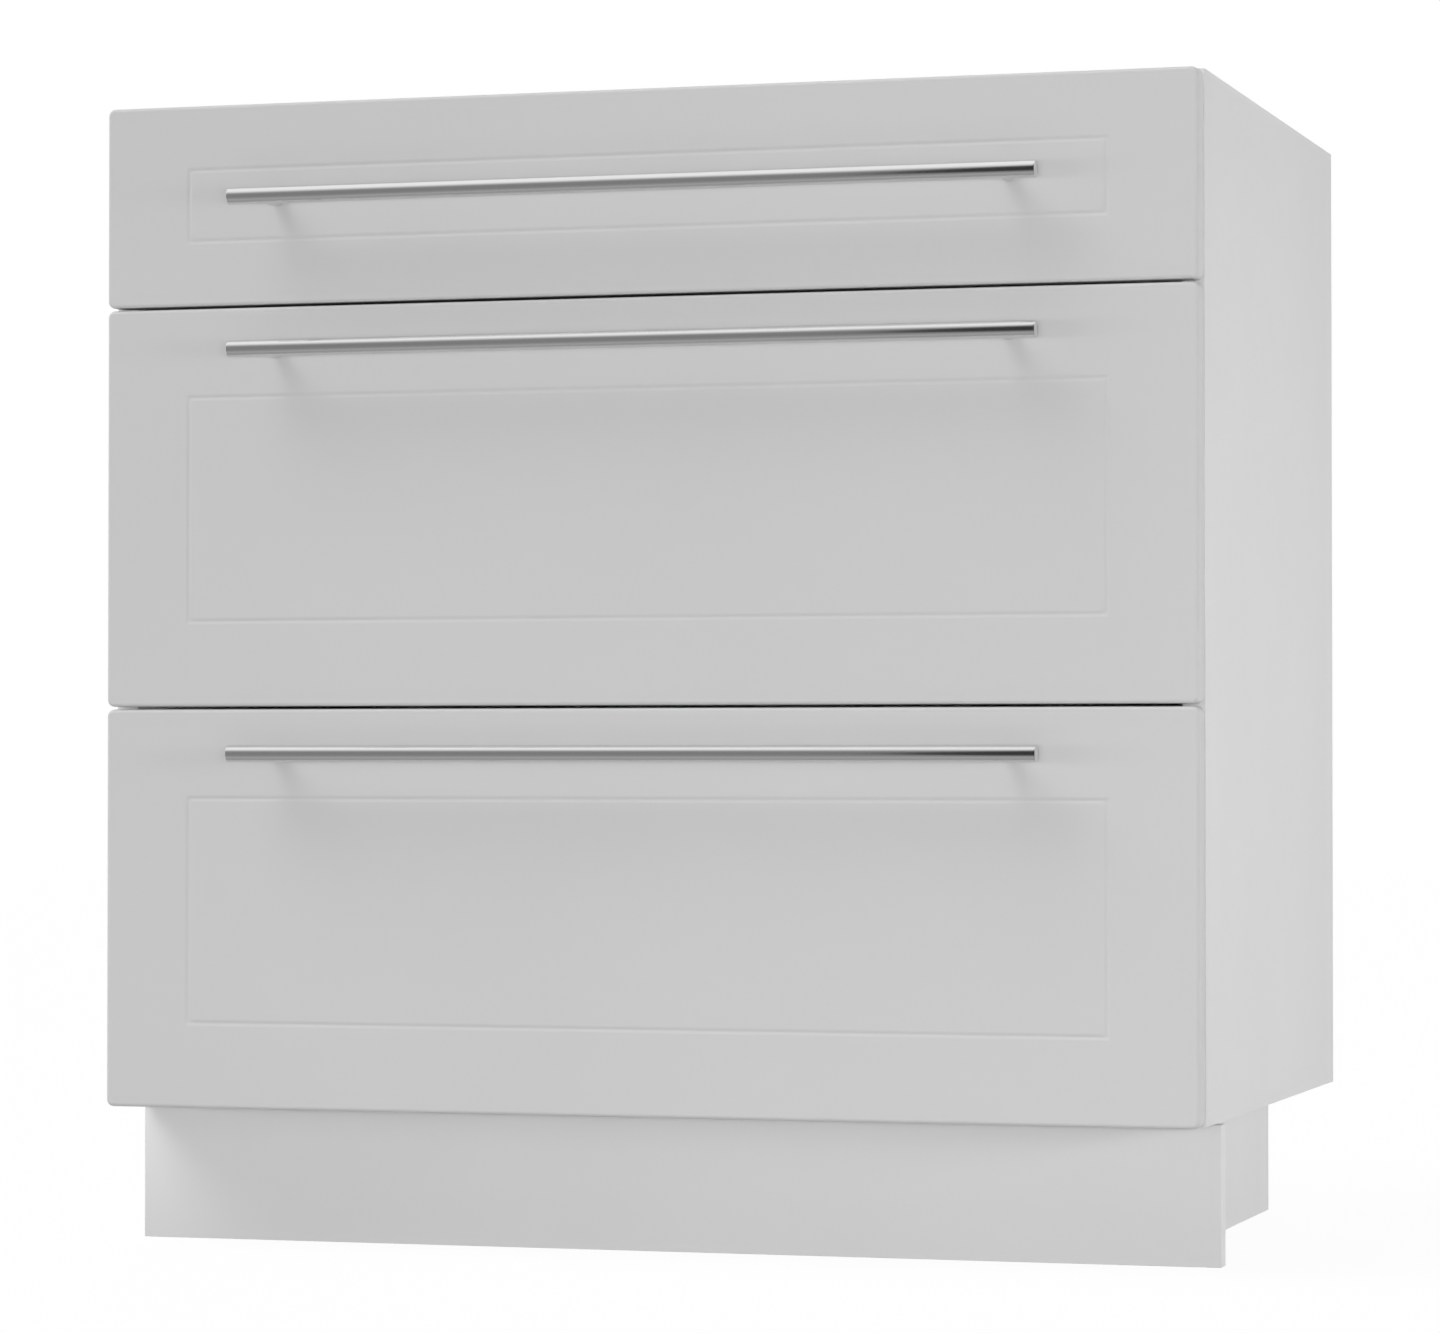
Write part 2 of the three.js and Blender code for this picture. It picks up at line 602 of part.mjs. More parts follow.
// Everything that slides out together. Heights are over the front's bottom edge.
function makeDrawer({ name, frontHeight, grooveInset, boxHeight, handleDrop }) {
  const drawer = new THREE.Group();
  const front = mesh(`${name}_drawer_front`, frontGeometry(frontHeight, grooveInset), FRONT_FILM());
  front.position.set(0, -BUMPER_GAP, frontHeight / 2);
  const handle = mesh(`${name}_drawer_handle`, handleGeometry(), HANDLE_STEEL());
  handle.position.set(0, -BUMPER_GAP - FRONT_THICKNESS, frontHeight - handleDrop);
  drawer.add(front, handle);

  for (const [side, sign] of SIDES) {
    const board = mesh(`${name}_drawer_side_${side}`, boxSideGeometry(boxHeight), LAMINATE());
    board.scale.x = sign;
    const member = mesh(`${name}_runner_drawer_member_${side}`, drawerMember(), RUNNER_ZINC());
    member.position.set(sign * INNER_HALF_WIDTH, RUNNER_SETBACK, BOX_RISE + RUNNER_RISE);
    member.scale.x = -sign;
    drawer.add(board, member);
  }

  const inner = BOX_HALF_WIDTH - BOX_BOARD;
  const bottomReach = inner + DRAWER_GROOVE_DEPTH - DRAWER_GROOVE_PLAY;
  const bottomLow = BOX_RISE + DRAWER_BOTTOM_RISE;
  const bottomTop = bottomLow + DRAWER_BOTTOM_THICKNESS;
  const bottom = slab([-bottomReach, bottomReach], [-BUMPER_GAP, BOX_REAR_Y], [bottomLow, bottomTop]);
  const back = slab([-inner, inner], [BOX_REAR_Y - BOX_BOARD, BOX_REAR_Y], [bottomTop, BOX_RISE + boxHeight]);
  drawer.add(mesh(`${name}_drawer_bottom`, bottom, LAMINATE()));
  drawer.add(mesh(`${name}_drawer_back`, back, LAMINATE()));
  return drawer;
}

// ---------------------------------------------------------------- the cabinet

const cabinet = new THREE.Group();
cabinet.add(makeCarcass(), makePlinth(), makeLegs());

const deepDrawer = {
  frontHeight: DEEP_FRONT_HEIGHT,
  grooveInset: { top: DEEP_GROOVE_TOP_INSET, bottom: DEEP_GROOVE_BOTTOM_INSET },
  boxHeight: DEEP_BOX_HEIGHT,
  handleDrop: DEEP_HANDLE_DROP,
};
const topDrawer = {
  frontHeight: TOP_FRONT_HEIGHT,
  grooveInset: { top: TOP_GROOVE_END_INSET, bottom: TOP_GROOVE_END_INSET },
  boxHeight: TOP_BOX_HEIGHT,
  handleDrop: TOP_HANDLE_DROP,
};
const stack = [
  { name: "lower", ...deepDrawer },
  { name: "middle", ...deepDrawer },
  { name: "upper", ...topDrawer },
];
let frontBottom = PLINTH_HEIGHT;
for (const sizes of stack) {
  const drawer = makeDrawer(sizes);
  drawer.position.z = frontBottom;
  cabinet.add(drawer, makeRunners(sizes.name, frontBottom + BOX_RISE + RUNNER_RISE));
  frontBottom += sizes.frontHeight + FRONT_GAP;
}

cabinet.position.y = -(FRONTMOST_Y + CARCASS_DEPTH) / 2;

const part = new THREE.Group();
part.add(cabinet);
export default part;
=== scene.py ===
"""Kitchen base cabinet with three drawers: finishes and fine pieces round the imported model.

Metres, +Z up, front towards -Y, as in the frame.
"""

import math

import bmesh
import bpy
from mathutils import Matrix, Vector


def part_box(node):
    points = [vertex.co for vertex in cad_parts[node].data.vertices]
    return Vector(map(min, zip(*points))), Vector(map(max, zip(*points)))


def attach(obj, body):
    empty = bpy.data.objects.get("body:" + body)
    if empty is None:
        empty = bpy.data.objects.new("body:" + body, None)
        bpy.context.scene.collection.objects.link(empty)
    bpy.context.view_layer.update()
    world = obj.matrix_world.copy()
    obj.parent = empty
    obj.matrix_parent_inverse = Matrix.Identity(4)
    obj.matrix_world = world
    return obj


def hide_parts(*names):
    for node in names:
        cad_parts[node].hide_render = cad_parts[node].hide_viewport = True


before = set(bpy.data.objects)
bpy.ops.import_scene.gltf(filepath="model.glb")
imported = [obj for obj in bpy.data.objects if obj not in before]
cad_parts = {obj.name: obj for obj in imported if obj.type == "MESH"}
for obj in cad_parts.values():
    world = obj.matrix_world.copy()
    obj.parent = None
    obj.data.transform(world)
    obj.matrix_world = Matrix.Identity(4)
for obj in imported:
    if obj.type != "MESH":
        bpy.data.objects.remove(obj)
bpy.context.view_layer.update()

# ---- Carcass boards ------------------------------------------------------------------------------
# The cabinet's body is 16 mm chipboard with white melamine faces. The edges that show in a kitchen
# have a white edging glued on and trimmed to a small arris; the others are left as the saw left them.
# The boards are butted together and held by dowels and cams.

WHITE = (0.725, 0.725, 0.725, 1)
ARRIS = 0.0004
SAME_POINT = 1e-6
SAME_PLANE = 1e-5
FLAT_WITHIN = 0.01
CORNER_ANGLE = 0.5


def finish(name, **surface):
    """A new material whose surface has these values."""
    material = bpy.data.materials.new(name)
    material.use_nodes = True
    sockets = material.node_tree.nodes["Principled BSDF"].inputs
    for socket, value in surface.items():
        sockets[socket.replace("_", " ")].default_value = value
    return material


def node(material, kind, inputs=(), **settings):
    """A new shader node in a material. Its inputs are values or other nodes' outputs."""
    made = material.node_tree.nodes.new("ShaderNode" + kind)
    for setting, value in settings.items():
        setattr(made, setting, value)
    for socket, value in dict(inputs).items():
        if isinstance(value, bpy.types.NodeSocket):
            material.node_tree.links.new(value, made.inputs[socket])
        else:
            made.inputs[socket].default_value = value
    return made


def feed(material, socket, output):
    """Links a node's output to a socket of the material's surface."""
    surface = material.node_tree.nodes["Principled BSDF"]
    material.node_tree.links.new(output, surface.inputs[socket])


def place(material, scale=(1, 1, 1)):
    """Coordinates that stay on the piece, stretched by a scale along each axis."""
    coordinates = node(material, "TexCoord").outputs["Object"]
    return node(material, "Mapping", {"Vector": coordinates, "Scale": scale}).outputs[0]


def noise(material, where, scale, detail=2.0, roughness=0.5):
    """Cloudy noise from 0 to 1."""
    values = {"Vector": where, "Scale": scale, "Detail": detail, "Roughness": roughness}
    return node(material, "TexNoise", values).outputs["Fac"]


def ramp(material, factor, *stops):
    """Colours along a factor. Each stop is its place and its colour."""
    made = node(material, "ValToRGB", {"Fac": factor})
    elements = made.color_ramp.elements
    while len(elements) < len(stops):
        elements.new(0.5)
    for element, (position, color) in zip(elements, stops):
        element.position = position
        element.color = color
    return made.outputs["Color"]


def dimmed(color, share):
    """The same colour at a share of its brightness."""
    return tuple(share * c for c in color[:3]) + (1,)


def spread(material, factor, low, high):
    """A number from low to high along a factor."""
    values = {"Value": factor, "To Min": low, "To Max": high}
    return node(material, "MapRange", values).outputs["Result"]


def grain(material, height, depth, strength=1.0, under=None):
    """Relief of a depth in metres, laid over any relief under it."""
    values = {"Height": height, "Distance": depth, "Strength": strength}
    if under is not None:
        values["Normal"] = under
    return node(material, "Bump", values).outputs["Normal"]


def melamine(name, color):
    """Printed paper pressed on the board: nearly flat, with the press plate's fine pearl."""
    material = finish(name, Specular_IOR_Level=0.4)
    where = place(material)
    cloud = noise(material, where, 6.0)
    feed(material, "Base Color", ramp(material, cloud, (0.35, dimmed(color, 0.985)), (0.65, color)))
    feed(material, "Roughness", spread(material, noise(material, where, 40.0, detail=4.0), 0.42, 0.50))
    pearl = noise(material, where, 1400.0, detail=3.0)
    feed(material, "Normal", grain(material, pearl, depth=0.00002, strength=0.5))
    return material


def edging(name, color):
    """Plastic strip on a board's edge: a little glossier than the faces, drawn along its length."""
    material = finish(name, Base_Color=color, Specular_IOR_Level=0.45)
    where = place(material)
    feed(material, "Roughness", spread(material, noise(material, where, 90.0, detail=3.0), 0.34, 0.42))
    waves = noise(material, where, 500.0, detail=3.0)
    feed(material, "Normal", grain(material, waves, depth=0.00002, strength=0.4))
    return material


def chipboard(name, thickness_axis):
    """A sawn edge: flakes of wood that lie flat in the board, all of one size here, though real chipboard is
    finer towards its faces.
    """
    material = finish(name, Roughness=0.85, Specular_IOR_Level=0.2)
    scale = [170.0, 170.0, 170.0]
    scale[thickness_axis] = 620.0
    where = place(material, scale)
    flakes = node(material, "TexVoronoi", {"Vector": where, "Scale": 1.0, "Randomness": 1.0})
    tone = node(material, "SeparateColor", {"Color": flakes.outputs["Color"]}).outputs["Red"]
    tan = ramp(
        material,
        tone,
        (0.0, (0.20, 0.115, 0.055, 1)),
        (0.16, (0.40, 0.265, 0.145, 1)),
        (0.6, (0.53, 0.375, 0.215, 1)),
        (1.0, (0.66, 0.50, 0.32, 1)),
    )
    feed(material, "Base Color", tan)
    feed(material, "Normal", grain(material, flakes.outputs["Distance"], depth=0.0002, strength=0.8))
    return material


PANEL_WHITE = melamine("white_melamine", WHITE)
EDGE_WHITE = edging("white_edging", WHITE)
SAWN_CHIPBOARD = [chipboard(f"sawn_chipboard_{axis}", i) for i, axis in enumerate("xyz")]
SIDES = {"-x": (0, -1), "+x": (0, 1), "-y": (1, -1), "+y": (1, 1), "-z": (2, -1), "+z": (2, 1)}


def piece(name, form, materials, body, replaced=None, crease=None):
    """Turns a finished bmesh into a piece that rides on a body. replaced is the CAD node that it stands
    for, and edges sharper than crease, in degrees, stay sharp."""
    mesh = bpy.data.meshes.new(name)
    for material in materials:
        mesh.materials.append(material)
    form.to_mesh(mesh)
    form.free()
    if crease is not None:
        mesh.set_sharp_from_angle(angle=math.radians(crease))
    placed(name, mesh, body, replaced)


def placed(name, mesh, body, replaced=None):
    """Puts a mesh into the scene as a named piece."""
    made = bpy.data.objects.new(name, mesh)
    bpy.context.scene.collection.objects.link(made)
    if replaced:
        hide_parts(replaced)
    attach(made, body)


def packed_form(cad_node):
    """A CAD node's mesh as a bmesh, with doubled corners merged."""
    form = bmesh.new()
    form.from_mesh(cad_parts[cad_node].data)
    bmesh.ops.remove_doubles(form, verts=form.verts, dist=SAME_POINT)
    return form


def board(cad_node, body, edged, faces=(PANEL_WHITE, PANEL_WHITE)):
    """A board with its arrises eased. Its two large faces take the faces' finishes, lower side first,
    the edged sides get the edging, and the other edges stay sawn."""
    low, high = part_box(cad_node)
    size = high - low
    thickness = min(range(3), key=lambda axis: size[axis])
    form = packed_form(cad_node)
    bmesh.ops.dissolve_limit(form, angle_limit=FLAT_WITHIN, verts=form.verts, edges=form.edges)
    flat = set(form.faces)
    for face in form.faces:
        axis = max(range(3), key=lambda i: abs(face.normal[i]))
        side = 1 if face.normal[axis] > 0 else -1
        limit = (high if side > 0 else low)[axis]
        outermost = abs(face.calc_center_median()[axis] - limit) < SAME_PLANE
        if axis == thickness:
            face.material_index = 0 if side < 0 else 1
        elif outermost and any(SIDES[mark] == (axis, side) for mark in edged):
            face.material_index = 2
        else:
            face.material_index = 3
        face.smooth = False
    corners = [edge for edge in form.edges if edge.is_manifold and edge.calc_face_angle() > CORNER_ANGLE]
    bmesh.ops.bevel(
        form,
        geom=corners,
        offset=ARRIS,
        segments=2,
        profile=0.5,
        affect="EDGES",
        clamp_overlap=True,
    )
    for face in form.faces:
        if face not in flat:
            face.smooth = True
    materials = (*faces, EDGE_WHITE, SAWN_CHIPBOARD[thickness])
    piece(cad_node + "_board", form, materials, body, cad_node)


board("side_panel_left", "cabinet", ["-y", "-z"])
board("side_panel_right", "cabinet", ["-y", "-z"])
board("bottom_panel", "cabinet", ["-y"])
board("front_rail", "cabinet", ["-y"])
board("rear_rail", "cabinet", [])

# ---- Back panel ----------------------------------------------------------------------------------
# A 3 mm hardboard sheet slid into grooves in the side panels. Its inner face is lacquered white, and
# its rear face is bare pressed fibre. Zinc-plated pins hold it to the bottom panel and the rear rail.

PIN_HEAD_RADIUS = 0.0024
PIN_HEAD_HEIGHT = 0.0007
PIN_HEAD = [
    (0, 0),
    (PIN_HEAD_RADIUS, 0),
    (PIN_HEAD_RADIUS, PIN_HEAD_HEIGHT * 0.4),
    (PIN_HEAD_RADIUS * 0.7, PIN_HEAD_HEIGHT * 0.85),
    (0, PIN_HEAD_HEIGHT),
]
PINS_ACROSS = 6
REARWARDS = (0, 1, 0)


def hardboard(name):
    """Brown fibres pressed flat, with darker strands here and there."""
    material = finish(name, Roughness=0.78, Specular_IOR_Level=0.25)
    where = place(material)
    strands = noise(material, where, 260.0, detail=6.0, roughness=0.65)
    brown = ramp(
        material,
        strands,
        (0.3, (0.15, 0.085, 0.042, 1)),
        (0.55, (0.27, 0.165, 0.085, 1)),
        (0.75, (0.36, 0.235, 0.13, 1)),
    )
    feed(material, "Base Color", brown)
    feed(material, "Normal", grain(material, strands, depth=0.0001, strength=0.6))
    return material


def plated_steel(name, color, scratch_scale):
    """Zinc plating: bright and bluish, a little cloudy, with fine drawing lines."""
    material = finish(name, Metallic=1.0)
    cloud = noise(material, place(material), 45.0, detail=3.0)
    feed(material, "Base Color", ramp(material, cloud, (0.3, dimmed(color, 0.9)), (0.7, color)))
    lines = noise(material, place(material, scratch_scale), 30.0, detail=4.0, roughness=0.6)
    feed(material, "Roughness", spread(material, lines, 0.26, 0.42))
    feed(material, "Normal", grain(material, lines, depth=0.00002, strength=0.4))
    return material


def revolve(form, profile, sides, at=Matrix.Identity(4)):
    """Adds a turned solid to a bmesh. Its profile is a list of (radius, height), from the foot of the
    axis to its top, or a loop that ends where it starts."""
    rings = []
    for radius, height in profile:
        turns = [2 * math.pi * i / sides for i in range(sides if radius else 1)]
        ring = [Vector((radius * math.cos(turn), radius * math.sin(turn), height)) for turn in turns]
        rings.append([form.verts.new(at @ point) for point in ring])
    if profile[0] == profile[-1]:
        bmesh.ops.delete(form, geom=rings.pop(), context="VERTS")
        rings.append(rings[0])
    for lower, upper in zip(rings, rings[1:]):
        for i in range(sides):
            n = (i + 1) % sides
            corners = [
                lower[i % len(lower)],
                lower[n % len(lower)],
                upper[n % len(upper)],
                upper[i % len(upper)],
            ]
            form.faces.new(list(dict.fromkeys(corners))).smooth = True


def facing(direction, point):
    """Puts a turned solid's foot at a point, with its axis along a direction."""
    turn = Vector((0, 0, 1)).rotation_difference(Vector(direction)).to_matrix().to_4x4()
    return Matrix.Translation(point) @ turn


ZINC = plated_steel("zinc_plating", (0.66, 0.67, 0.685, 1), (60.0, 1.5, 60.0))
board("back_panel", "cabinet", [], (PANEL_WHITE, hardboard("bare_hardboard")))

panel_low, panel_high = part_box("back_panel")
bottom_low, bottom_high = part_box("bottom_panel")
rail_low, rail_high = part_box("rear_rail")
form = bmesh.new()
for z in ((bottom_low.z + bottom_high.z) / 2, (rail_low.z + rail_high.z) / 2):
    for i in range(PINS_ACROSS):
        x = rail_low.x + (rail_high.x - rail_low.x) * (i + 0.5) / PINS_ACROSS
        revolve(form, PIN_HEAD, sides=20, at=facing(REARWARDS, (x, panel_high.y, z)))
piece("back_panel_pins", form, [ZINC], "cabinet", crease=50)

# ---- Legs ----------------------------------------------------------------------------------------
# Black polypropylene mouldings, each held under the cabinet by four screws through its plate, with
# four ribs from the plate down to the tube. The tube takes the foot's screw. The plastic has a fine
# eroded grain from its mould.

LEG_TUBE_RADIUS = 0.015
LEG_COLLAR_RADIUS = 0.017
LEG_COLLAR_HEIGHT = 0.008
LEG_COLLAR_SLOPE = 0.001
LEG_BORE_RADIUS = 0.0115
LEG_BORE_DEPTH = 0.060
LEG_PLATE_RADIUS = 0.030
LEG_PLATE_THICKNESS = 0.005
LEG_RIB_THICKNESS = 0.002
LEG_RIB_DROP = 0.024
LEG_RIB_TIP = 0.002
LEG_RIB_SETBACK = 0.003
LEG_RIB_ROOT = 0.001
LEG_SCREW_CIRCLE = 0.024
MOULD_EDGE = 0.0005
CORNERS = [(row, side) for row in ("front", "rear") for side in ("left", "right")]


def moulded_plastic(name, color):
    """Dull plastic with the eroded grain of its mould."""
    material = finish(name, Base_Color=color, Specular_IOR_Level=0.45)
    where = place(material)
    feed(material, "Roughness", spread(material, noise(material, where, 70.0, detail=3.0), 0.44, 0.58))
    erosion = noise(material, where, 1800.0, detail=3.0)
    feed(material, "Normal", grain(material, erosion, depth=0.00005, strength=0.6))
    return material


def prism(form, points, lift):
    """Adds a solid with a flat outline: the points one way, and the same points lifted by a vector."""
    near = [form.verts.new(point) for point in points]
    far = [form.verts.new(Vector(point) + lift) for point in points]
    form.faces.new(near)
    form.faces.new(list(reversed(far)))
    for i in range(len(near)):
        n = (i + 1) % len(near)
        form.faces.new((near[i], far[i], far[n], near[n]))


def pan_head(name, radius, height, finished):
    """A screw's head with a cross recess, standing on the ground with its axis up."""
    outline = [
        (0, 0),
        (radius, 0),
        (radius, height * 0.35),
        (radius * 0.93, height * 0.65),
        (radius * 0.7, height * 0.9),
        (radius * 0.4, height),
        (0, height),
    ]
    form = bmesh.new()
    revolve(form, outline, sides=32)
    head = bpy.data.meshes.new(name)
    form.to_mesh(head)
    form.clear()
    long, narrow = radius * 0.62, radius * 0.14
    quarter = [(long, narrow), (narrow, narrow), (narrow, long)]
    cross = []
    for _ in range(4):
        cross += quarter
        quarter = [(-y, x) for x, y in quarter]
    prism(form, [(x, y, height * 0.3) for x, y in cross], Vector((0, 0, height)))
    bmesh.ops.recalc_face_normals(form, faces=form.faces)
    recess = bpy.data.meshes.new(name + "_recess")
    form.to_mesh(recess)
    form.free()
    blank = bpy.data.objects.new(name, head)
    cutter = bpy.data.objects.new(recess.name, recess)
    for made in (blank, cutter):
        bpy.context.scene.collection.objects.link(made)
    cut = blank.modifiers.new("recess", "BOOLEAN")
    cut.operation = "DIFFERENCE"
    cut.solver = "EXACT"
    cut.object = cutter
    depsgraph = bpy.context.evaluated_depsgraph_get()
    done = bpy.data.meshes.new_from_object(blank.evaluated_get(depsgraph))
    for made in (blank, cutter):
        bpy.data.objects.remove(made)
    done.name = name
    done.materials.clear()
    done.materials.append(finished)
    done.set_sharp_from_angle(angle=math.radians(40))
    return done


def screws(name, head, places, body):
    """One piece of several like screw heads. places lists the directions that they face and their points."""
    form = bmesh.new()
    for direction, point in places:
        start = len(form.verts)
        form.from_mesh(head)
        form.verts.ensure_lookup_table()
        bmesh.ops.transform(form, matrix=facing(direction, point), verts=form.verts[start:])
    piece(name, form, [head.materials[0]], body, crease=40)


def leg_axis(row, side):
    """Where a leg's axis meets the floor."""
    low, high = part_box(f"foot_{row}_{side}")
    return Matrix.Translation(((low.x + high.x) / 2, (low.y + high.y) / 2, 0))


def quarter_turn(steps):
    """Angles from 0 to 90 degrees, in equal steps."""
    return [i / steps * math.pi / 2 for i in range(steps + 1)]


def leg(row, side):
    """A moulding and the screws through its plate."""
    cad_node = f"leg_{row}_{side}"
    at = leg_axis(row, side)
    bottom, top = (corner.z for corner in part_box(cad_node))
    plate = top - LEG_PLATE_THICKNESS
    profile = [
        (0, bottom + LEG_BORE_DEPTH),
        (LEG_BORE_RADIUS, bottom + LEG_BORE_DEPTH),
        (LEG_BORE_RADIUS, bottom + MOULD_EDGE),
        (LEG_BORE_RADIUS + MOULD_EDGE, bottom),
        (LEG_COLLAR_RADIUS - MOULD_EDGE, bottom),
        (LEG_COLLAR_RADIUS, bottom + MOULD_EDGE),
        (LEG_COLLAR_RADIUS, bottom + LEG_COLLAR_HEIGHT - MOULD_EDGE),
        (LEG_COLLAR_RADIUS - MOULD_EDGE, bottom + LEG_COLLAR_HEIGHT),
        (LEG_TUBE_RADIUS, bottom + LEG_COLLAR_HEIGHT + LEG_COLLAR_SLOPE),
    ]
    flare = (LEG_PLATE_RADIUS - LEG_TUBE_RADIUS) / 2
    for angle in quarter_turn(steps=8):
        radius = LEG_TUBE_RADIUS + flare * (1 - math.cos(angle))
        profile.append((radius, plate - flare * (1 - math.sin(angle))))
    profile += [
        (LEG_PLATE_RADIUS - MOULD_EDGE, plate),
        (LEG_PLATE_RADIUS, plate + MOULD_EDGE),
        (LEG_PLATE_RADIUS, top),
        (0, top),
    ]
    inner, outer = LEG_TUBE_RADIUS - LEG_RIB_ROOT, LEG_PLATE_RADIUS - LEG_RIB_SETBACK
    rib = [
        (inner, plate - LEG_RIB_DROP),
        (outer, plate - LEG_RIB_TIP),
        (outer, plate + LEG_RIB_ROOT),
        (inner, plate + LEG_RIB_ROOT),
    ]
    form = bmesh.new()
    revolve(form, profile, sides=64, at=at)
    for quarter in range(4):
        turn = at @ Matrix.Rotation(math.radians(45 + 90 * quarter), 4, "Z")
        points = [turn @ Vector((r, -LEG_RIB_THICKNESS / 2, z)) for r, z in rib]
        prism(form, points, turn.to_3x3() @ Vector((0, LEG_RIB_THICKNESS, 0)))
    bmesh.ops.recalc_face_normals(form, faces=form.faces)
    piece(f"leg_{row}_{side}_moulding", form, [BLACK_PLASTIC], "cabinet", cad_node, crease=35)
    heads = []
    for quarter in range(4):
        turn = Matrix.Rotation(math.radians(90 * quarter), 3, "Z")
        heads.append(((0, 0, -1), at @ (turn @ Vector((LEG_SCREW_CIRCLE, 0, plate)))))
    screws(f"leg_{row}_{side}_screws", WOOD_SCREW, heads, "cabinet")


BLACK_PLASTIC = moulded_plastic("black_polypropylene", (0.022, 0.022, 0.024, 1))
WOOD_SCREW = pan_head("wood_screw_head", radius=0.0038, height=0.0022, finished=ZINC)
for row, side in CORNERS:
    leg(row, side)

# ---- Plinth clips --------------------------------------------------------------------------------
# Black plastic clips: a spring ring snapped round the leg, an arm, and a pad screwed to the back of the
# plinth board. They let the plinth be pulled off by hand.

CLIP_HEIGHT = 0.014
CLIP_THICKNESS = 0.003
CLIP_ARM_WIDTH = 0.012
CLIP_PAD_WIDTH = 0.040
CLIP_REACH = 0.03475
CLIP_OPENING = math.radians(70)
CLIP_EDGE = 0.0006
CLIP_PLAY = 0.0001
CLIP_ROOT = 0.001
CLIP_SCREW_SPACING = 0.026
FRONT_CLIP_Z = 0.056
SIDE_CLIP_Z = 0.040


def block(form, low, high, at):
    """Adds a block between two corners, with its edges rounded."""
    made = bmesh.ops.create_cube(form, size=1.0)["verts"]
    low, high = Vector(low), Vector(high)
    size = high - low
    for vert in made:
        vert.co = Vector((vert.co[i] * size[i] for i in range(3))) + (low + high) / 2
    edges = {e for vert in made for e in vert.link_edges}
    rounded = bmesh.ops.bevel(
        form,
        geom=list(edges),
        offset=CLIP_EDGE,
        segments=3,
        profile=0.5,
        affect="EDGES",
    )
    for face in rounded["faces"]:
        face.smooth = True
    bmesh.ops.transform(form, matrix=at, verts=list({v for f in rounded["faces"] for v in f.verts}))


def skin(form, rings):
    """Joins each ring of corners to the next with faces that are shaded round."""
    for first, second in zip(rings, rings[1:]):
        for i in range(len(first)):
            n = (i + 1) % len(first)
            form.faces.new((first[i], first[n], second[n], second[i])).smooth = True


def arc_strip(form, inner, outer, heights, start, sweep, steps, at):
    """Adds part of a ring of square section."""
    section = [(inner, heights[0]), (outer, heights[0]), (outer, heights[1]), (inner, heights[1])]
    rings = []
    for i in range(steps + 1):
        angle = start + sweep * i / steps
        ring = [Vector((r * math.cos(angle), r * math.sin(angle), z)) for r, z in section]
        rings.append([form.verts.new(at @ point) for point in ring])
    skin(form, rings)
    form.faces.new(rings[0])
    form.faces.new(list(reversed(rings[-1])))


def plinth_clip(row, side, z, direction, held):
    """A clip that reaches from a leg towards a board. direction is its angle about the leg, in degrees."""
    at = leg_axis(row, side) @ Matrix.Rotation(math.radians(direction), 4, "Z")
    bottom, top = z - CLIP_HEIGHT / 2, z + CLIP_HEIGHT / 2
    inner, outer = LEG_TUBE_RADIUS + CLIP_PLAY, LEG_TUBE_RADIUS + CLIP_THICKNESS
    start, sweep = -math.pi + CLIP_OPENING / 2, 2 * math.pi - CLIP_OPENING
    form = bmesh.new()
    arc_strip(form, inner, outer, (bottom, top), start, sweep, steps=44, at=at)
    pad_back = CLIP_REACH - CLIP_THICKNESS
    arm, pad = CLIP_ARM_WIDTH / 2, CLIP_PAD_WIDTH / 2
    block(form, (outer - CLIP_ROOT, -arm, bottom), (pad_back + CLIP_ROOT, arm, top), at)
    block(form, (pad_back, -pad, bottom), (CLIP_REACH, pad, top), at)
    bmesh.ops.recalc_face_normals(form, faces=form.faces)
    piece(f"plinth_clip_{row}_{side}_{held}", form, [BLACK_PLASTIC], "cabinet", crease=35)
    towards_leg = at.to_3x3() @ Vector((-1, 0, 0))
    across = (-CLIP_SCREW_SPACING / 2, CLIP_SCREW_SPACING / 2)
    heads = [(towards_leg, at @ Vector((pad_back, y, z))) for y in across]
    screws(f"plinth_clip_{row}_{side}_{held}_screws", SMALL_SCREW, heads, "cabinet")


SMALL_SCREW = pan_head("small_screw_head", radius=0.0031, height=0.0018, finished=ZINC)
for row, side in CORNERS:
    plinth_clip(row, side, SIDE_CLIP_Z, 180 if side == "left" else 0, "side")
    if row == "front":
        plinth_clip(row, side, FRONT_CLIP_Z, -90, "front")

# ---- Plinth --------------------------------------------------------------------------------------
# Three boards of the same chipboard stand on the floor under the cabinet, held by the legs' clips.
# Their tops and visible ends are edged, and the sawn lower edges are hidden against the floor.

# The plinth's melamine is a copy of the carcass white set a touch darker to match its tone under the lamps:
# painted shade on boards of the same white.
PLINTH_SHADED_WHITE = melamine("plinth_melamine_painted_shade", (0.72, 0.72, 0.72, 1))
board("plinth_front", "cabinet", ["-x", "+x", "+z"], (PLINTH_SHADED_WHITE, PLINTH_SHADED_WHITE))
board("plinth_left", "cabinet", ["+y", "+z"], (PLINTH_SHADED_WHITE, PLINTH_SHADED_WHITE))
board("plinth_right", "cabinet", ["+y", "+z"], (PLINTH_SHADED_WHITE, PLINTH_SHADED_WHITE))

# ---- Screw feet ----------------------------------------------------------------------------------
# Black plastic too: a disc that stands on the floor, with twelve grips round its cone for turning it,
# and a coarse thread that runs up inside the leg.

